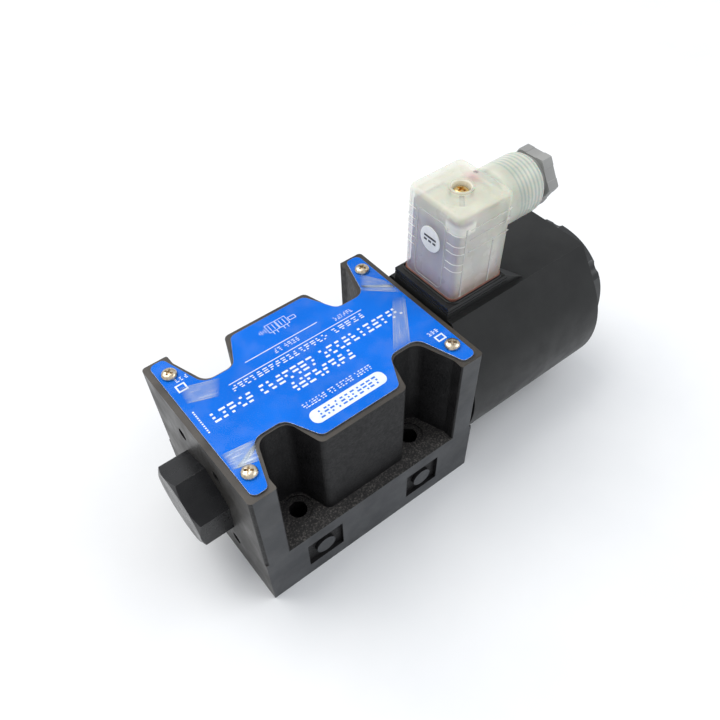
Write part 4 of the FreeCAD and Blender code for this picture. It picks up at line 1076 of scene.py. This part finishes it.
def add_screw_boss(hood, solid):
    """Add the boss round the centre screw, and cut its well and hole."""
    boss = 4.6 * MM
    top = HOOD_HIGH.z
    middle = (HOOD_MIDDLE, 0, 0)
    ring = lathe("boss", [(SEAT - 2 * MM, 0), (SEAT - 2 * MM, boss), (top - 0.35 * MM, boss),
                          (top - 0.1 * MM, boss - 0.15 * MM), (top, boss - 0.45 * MM), (top, 0)],
                 middle)
    combine(hood, dress(ring, hood.data.materials[0]), "UNION")
    well = lathe("well", [(SEAT, 0), (SEAT, 3.3 * MM), (top - 0.5 * MM, 3.4 * MM),
                          (top - 0.05 * MM, 3.75 * MM), (top + MM, 4 * MM), (top + MM, 0)],
                 middle)
    combine(hood, dress(well, solid), "DIFFERENCE")
    hole = lathe("hole", [(SEAT - 4 * MM, 0), (SEAT - 4 * MM, 1.7 * MM), (SEAT + MM, 1.7 * MM),
                          (SEAT + MM, 0)], middle, "z", 32)
    combine(hood, dress(hole, solid), "DIFFERENCE")


def connector_hood():
    """Milky hood: rounded box, cable sleeve, screw boss, corner block, ribs and lines."""
    faint = cloudy("hood_lines_faint", (0.80, 0.80, 0.74), (0.90, 0.90, 0.84), 0.34)
    lines = cloudy("hood_lines", (0.84, 0.85, 0.80), (0.93, 0.93, 0.88), 0.6)
    solid = cloudy("hood_solid", (0.80, 0.79, 0.66), (0.90, 0.89, 0.78), 0.9)
    crest = cloudy("hood_thread_crest", (0.62, 0.68, 0.64), (0.74, 0.79, 0.74), 0.4)
    # Painted shade: the darker finish of the thread grooves.
    groove = cloudy("hood_thread_groove_shade", (0.16, 0.23, 0.22), (0.26, 0.34, 0.32), 0.85)
    hood = dress(hood_box(), milky())
    combine(hood, cable_sleeve(), "UNION")
    for trim, finish in ((corner_ribs(), lines), (straight_ribs(), faint), (front_arch(), faint)):
        combine(hood, dress(trim, finish), "UNION")
    cavity = hood_block("cavity", WALL, 1.6 * MM, [(HOOD_FOOT - MM, 0), (LID - WALL, 0)])
    combine(hood, cavity, "DIFFERENCE")
    combine(hood, sleeve_bore(crest, groove), "DIFFERENCE")
    combine(hood, dress(corner_block(), solid), "UNION")
    add_screw_boss(hood, solid)
    combine(hood, dress(lid_channel(), faint), "DIFFERENCE")
    return place(smooth(hood, 28), "connector", "translucent_hood", "connector_housing")


def lid_channel():
    """Shallow channel in the lid from the screw boss to the corner block."""
    start = Vector((HOOD_MIDDLE, 0, 0))
    end = BLOCK
    ahead = (end - start).normalized()
    side = Vector((-ahead.y, ahead.x, 0)) * 0.9 * MM
    near = start + ahead * 5.1 * MM
    far = end - ahead * 1.5 * MM
    outline = [(p.x, p.y) for p in (near + side, near - side, far - side, far + side)]
    return prism("channel", outline, LID - 0.45 * MM, LID + MM)


def connector_screw():
    """Brass centre screw, seen in its well."""
    head = 1.9 * MM
    seat = SCREW_HIGH.z - head
    obj = cross_head_screw(HOOD_MIDDLE, 0, seat, 2.9 * MM, head, 1.5 * MM, seat - SCREW_LOW.z,
                           3.7 * MM, radians(12))
    dress(obj, metal("screw_brass", (0.62, 0.42, 0.16), (0.90, 0.72, 0.38), 0.18, 0.34))
    return place(obj, "connector", "brass", "connector_screw")


def supply_label():
    """White disc with the graphic symbol for direct current: a line over three dashes."""
    low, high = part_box("supply_label")
    middle = (low.z + high.z) / 2
    radius = (high.y - low.y) / 2
    disc = lathe("disc", [(low.x + 0.05 * MM, 0), (low.x + 0.05 * MM, radius - 0.1 * MM),
                          (low.x + 0.15 * MM, radius), (high.x, radius), (high.x, 0)],
                 (0, 0, middle), "x", 64)
    dress(disc, paper())
    front = low.x
    back = low.x + 0.12 * MM
    lines = [(-3.0, 0.35, 3.0, 1.15)]
    lines += [(y, -1.25, y + 1.5, -0.45) for y in (-3.0, -0.75, 1.5)]
    marks = boxes("marks", [((front, y0 * MM, middle + z0 * MM), (back, y1 * MM, middle + z1 * MM))
                            for y0, z0, y1, z1 in lines])
    dress(marks, ink("black_ink", (0.010, 0.010, 0.012), (0.02, 0.02, 0.022)))
    return place(join("supply_disc", [disc, marks]), "connector", "white_label", "supply_label")


def gland_nut():
    # Painted highlight: the bevelled edges take a lighter copy of the grey finish.
    obj = dress(copy_node("gland_nut", "gland_nut_grey"),
                plastic("gland_grey", (0.22, 0.22, 0.215), (0.30, 0.30, 0.29), 0.36, 0.48),
                plastic("gland_edge_highlight", (0.28, 0.28, 0.275), (0.36, 0.36, 0.35), 0.3, 0.42))
    return place(smooth(soften(obj, 0.1 * MM, edge_slot=1, angle=20), 20), "gland", "gland_grey",
                 "gland_nut")


# -------- pieces kept from the CAD

def inner_finishes():
    """Finish of every CAD node that is shown as it is."""
    black_rubber = rubber("nitrile_black", (0.010, 0.010, 0.010), (0.022, 0.022, 0.022))
    iron = metal("turned_iron", (0.30, 0.30, 0.31), (0.46, 0.46, 0.47))
    ground = metal("ground_steel", (0.50, 0.50, 0.52), (0.64, 0.64, 0.66), 0.12, 0.24)
    brass = metal("turned_brass", (0.50, 0.34, 0.13), (0.74, 0.55, 0.26), 0.2, 0.34)
    tinned = metal("tinned_brass", (0.52, 0.52, 0.50), (0.70, 0.70, 0.67), 0.24, 0.4)
    pale = rubber("grommet_pale", (0.36, 0.42, 0.40), (0.50, 0.55, 0.52))
    insert = plastic("insert_grey", (0.20, 0.14, 0.27), (0.27, 0.20, 0.36), 0.4, 0.5)
    return {
        black_rubber: ["port_seals", "end_plug_seal", "tube_body_seal", "override_seal",
                       "coil_rear_seal", "screw_seal"],
        iron: ["pole_piece", "tube_sleeve", "tube_end", "armature", "yoke_tube",
               "yoke_front_plate", "yoke_rear_plate", "spring_seat"],
        ground: ["spool", "push_rod", "override_pin"],
        brass: ["armature_washer", "nonmagnetic_ring", "screw_insert"],
        tinned: ["power_terminals", "earth_terminal", "socket_contacts"],
        metal("wire_screw_zinc", (0.52, 0.50, 0.44), (0.72, 0.70, 0.62)): ["wire_screws"],
        plastic("bobbin_nylon", (0.42, 0.39, 0.30), (0.56, 0.52, 0.42), 0.4, 0.55): ["bobbin"],
        wound_copper(): ["copper_winding"],
        insert: ["contact_insert"],
        plastic("board_laminate", (0.46, 0.42, 0.36), (0.58, 0.54, 0.47), 0.3, 0.42):
            ["indicator_board"],
        lamp_red(): ["indicator_lamp"],
        pale: ["gland_grommet"],
        plastic("washer_grey", (0.36, 0.37, 0.38), (0.46, 0.47, 0.48), 0.4, 0.5):
            ["gland_washer"],
    }


# -------- camera, lights and floor

CAMERA_PLACE = (-85.9 * MM, -141.9 * MM, 254.9 * MM)
CAMERA_AZIMUTH = radians(-35.54)
CAMERA_ELEVATION = radians(52.85)
CAMERA_ROLL = radians(-2.77)


def camera():
    """A short lens above the spring end, looking down along the valve."""
    data = bpy.data.cameras.new("camera")
    data.lens = 34.93
    data.sensor_width = 36
    data.shift_x = 0.0131
    data.shift_y = 0.0793
    data.clip_start = 10 * MM
    obj = link("camera", data)
    level = cos(CAMERA_ELEVATION)
    forward = Vector((-sin(CAMERA_AZIMUTH) * level, cos(CAMERA_AZIMUTH) * level,
                      -sin(CAMERA_ELEVATION)))
    side = forward.cross(Vector((0, 0, 1))).normalized()
    above = side.cross(forward)
    right = side * cos(CAMERA_ROLL) + above * sin(CAMERA_ROLL)
    up = right.cross(forward)
    turn = Matrix((right, up, -forward)).transposed()
    obj.matrix_world = Matrix.Translation(CAMERA_PLACE) @ turn.to_4x4()
    SCENE.camera = obj


def area_light(name, place_at, size, power, colour):
    """A square softbox aimed at the middle of the valve."""
    data = bpy.data.lights.new(name, "AREA")
    data.shape = "SQUARE"
    data.size = size
    data.energy = power
    data.color = colour
    obj = link(name, data)
    target = Vector((35 * MM, 0, 40 * MM))
    obj.location = place_at
    obj.rotation_euler = (target - Vector(place_at)).to_track_quat("-Z", "Y").to_euler()


def lights():
    SCENE.view_settings.view_transform = "Standard"
    world = bpy.data.worlds.new("studio")
    world.use_nodes = True
    sky = world.node_tree.nodes["Background"]
    sky.inputs["Color"].default_value = (0.94, 0.965, 1.0, 1)
    sky.inputs["Strength"].default_value = 0.75
    SCENE.world = world
    area_light("key", (-0.25, 0.55, 1.05), 0.9, 9.0, (1.0, 0.985, 0.96))
    area_light("side", (0.75, -0.55, 0.9), 0.7, 4.0, (0.96, 0.98, 1.0))


def floor():
    """Pale paper under the valve."""
    bm = bmesh.new()
    reach = 2.5
    corners = [bm.verts.new((x, y, -0.02 * MM)) for x, y in
               ((-reach, -reach), (reach, -reach), (reach, reach), (-reach, reach))]
    bm.faces.new(corners)
    obj = mesh_object("floor", bm)
    paint = Paint("floor_paper", Roughness=0.6, Specular_IOR_Level=0.25)
    paint.mottled((0.80, 0.81, 0.825), (0.86, 0.865, 0.872), 90 * MM)
    dress(obj, paint.material)


# -------- build

BUILDERS = [
    camera, lights, floor, valve_body, end_plug, return_spring, nameplate, plate_print,
    protective_film, nameplate_screws, coil_moulding, coil_nut, connector_gasket,
    connector_hood, connector_screw, supply_label, gland_nut,
]

for build in BUILDERS:
    build()
for finish, names in inner_finishes().items():
    for name in names:
        dress(NODES[name], finish)
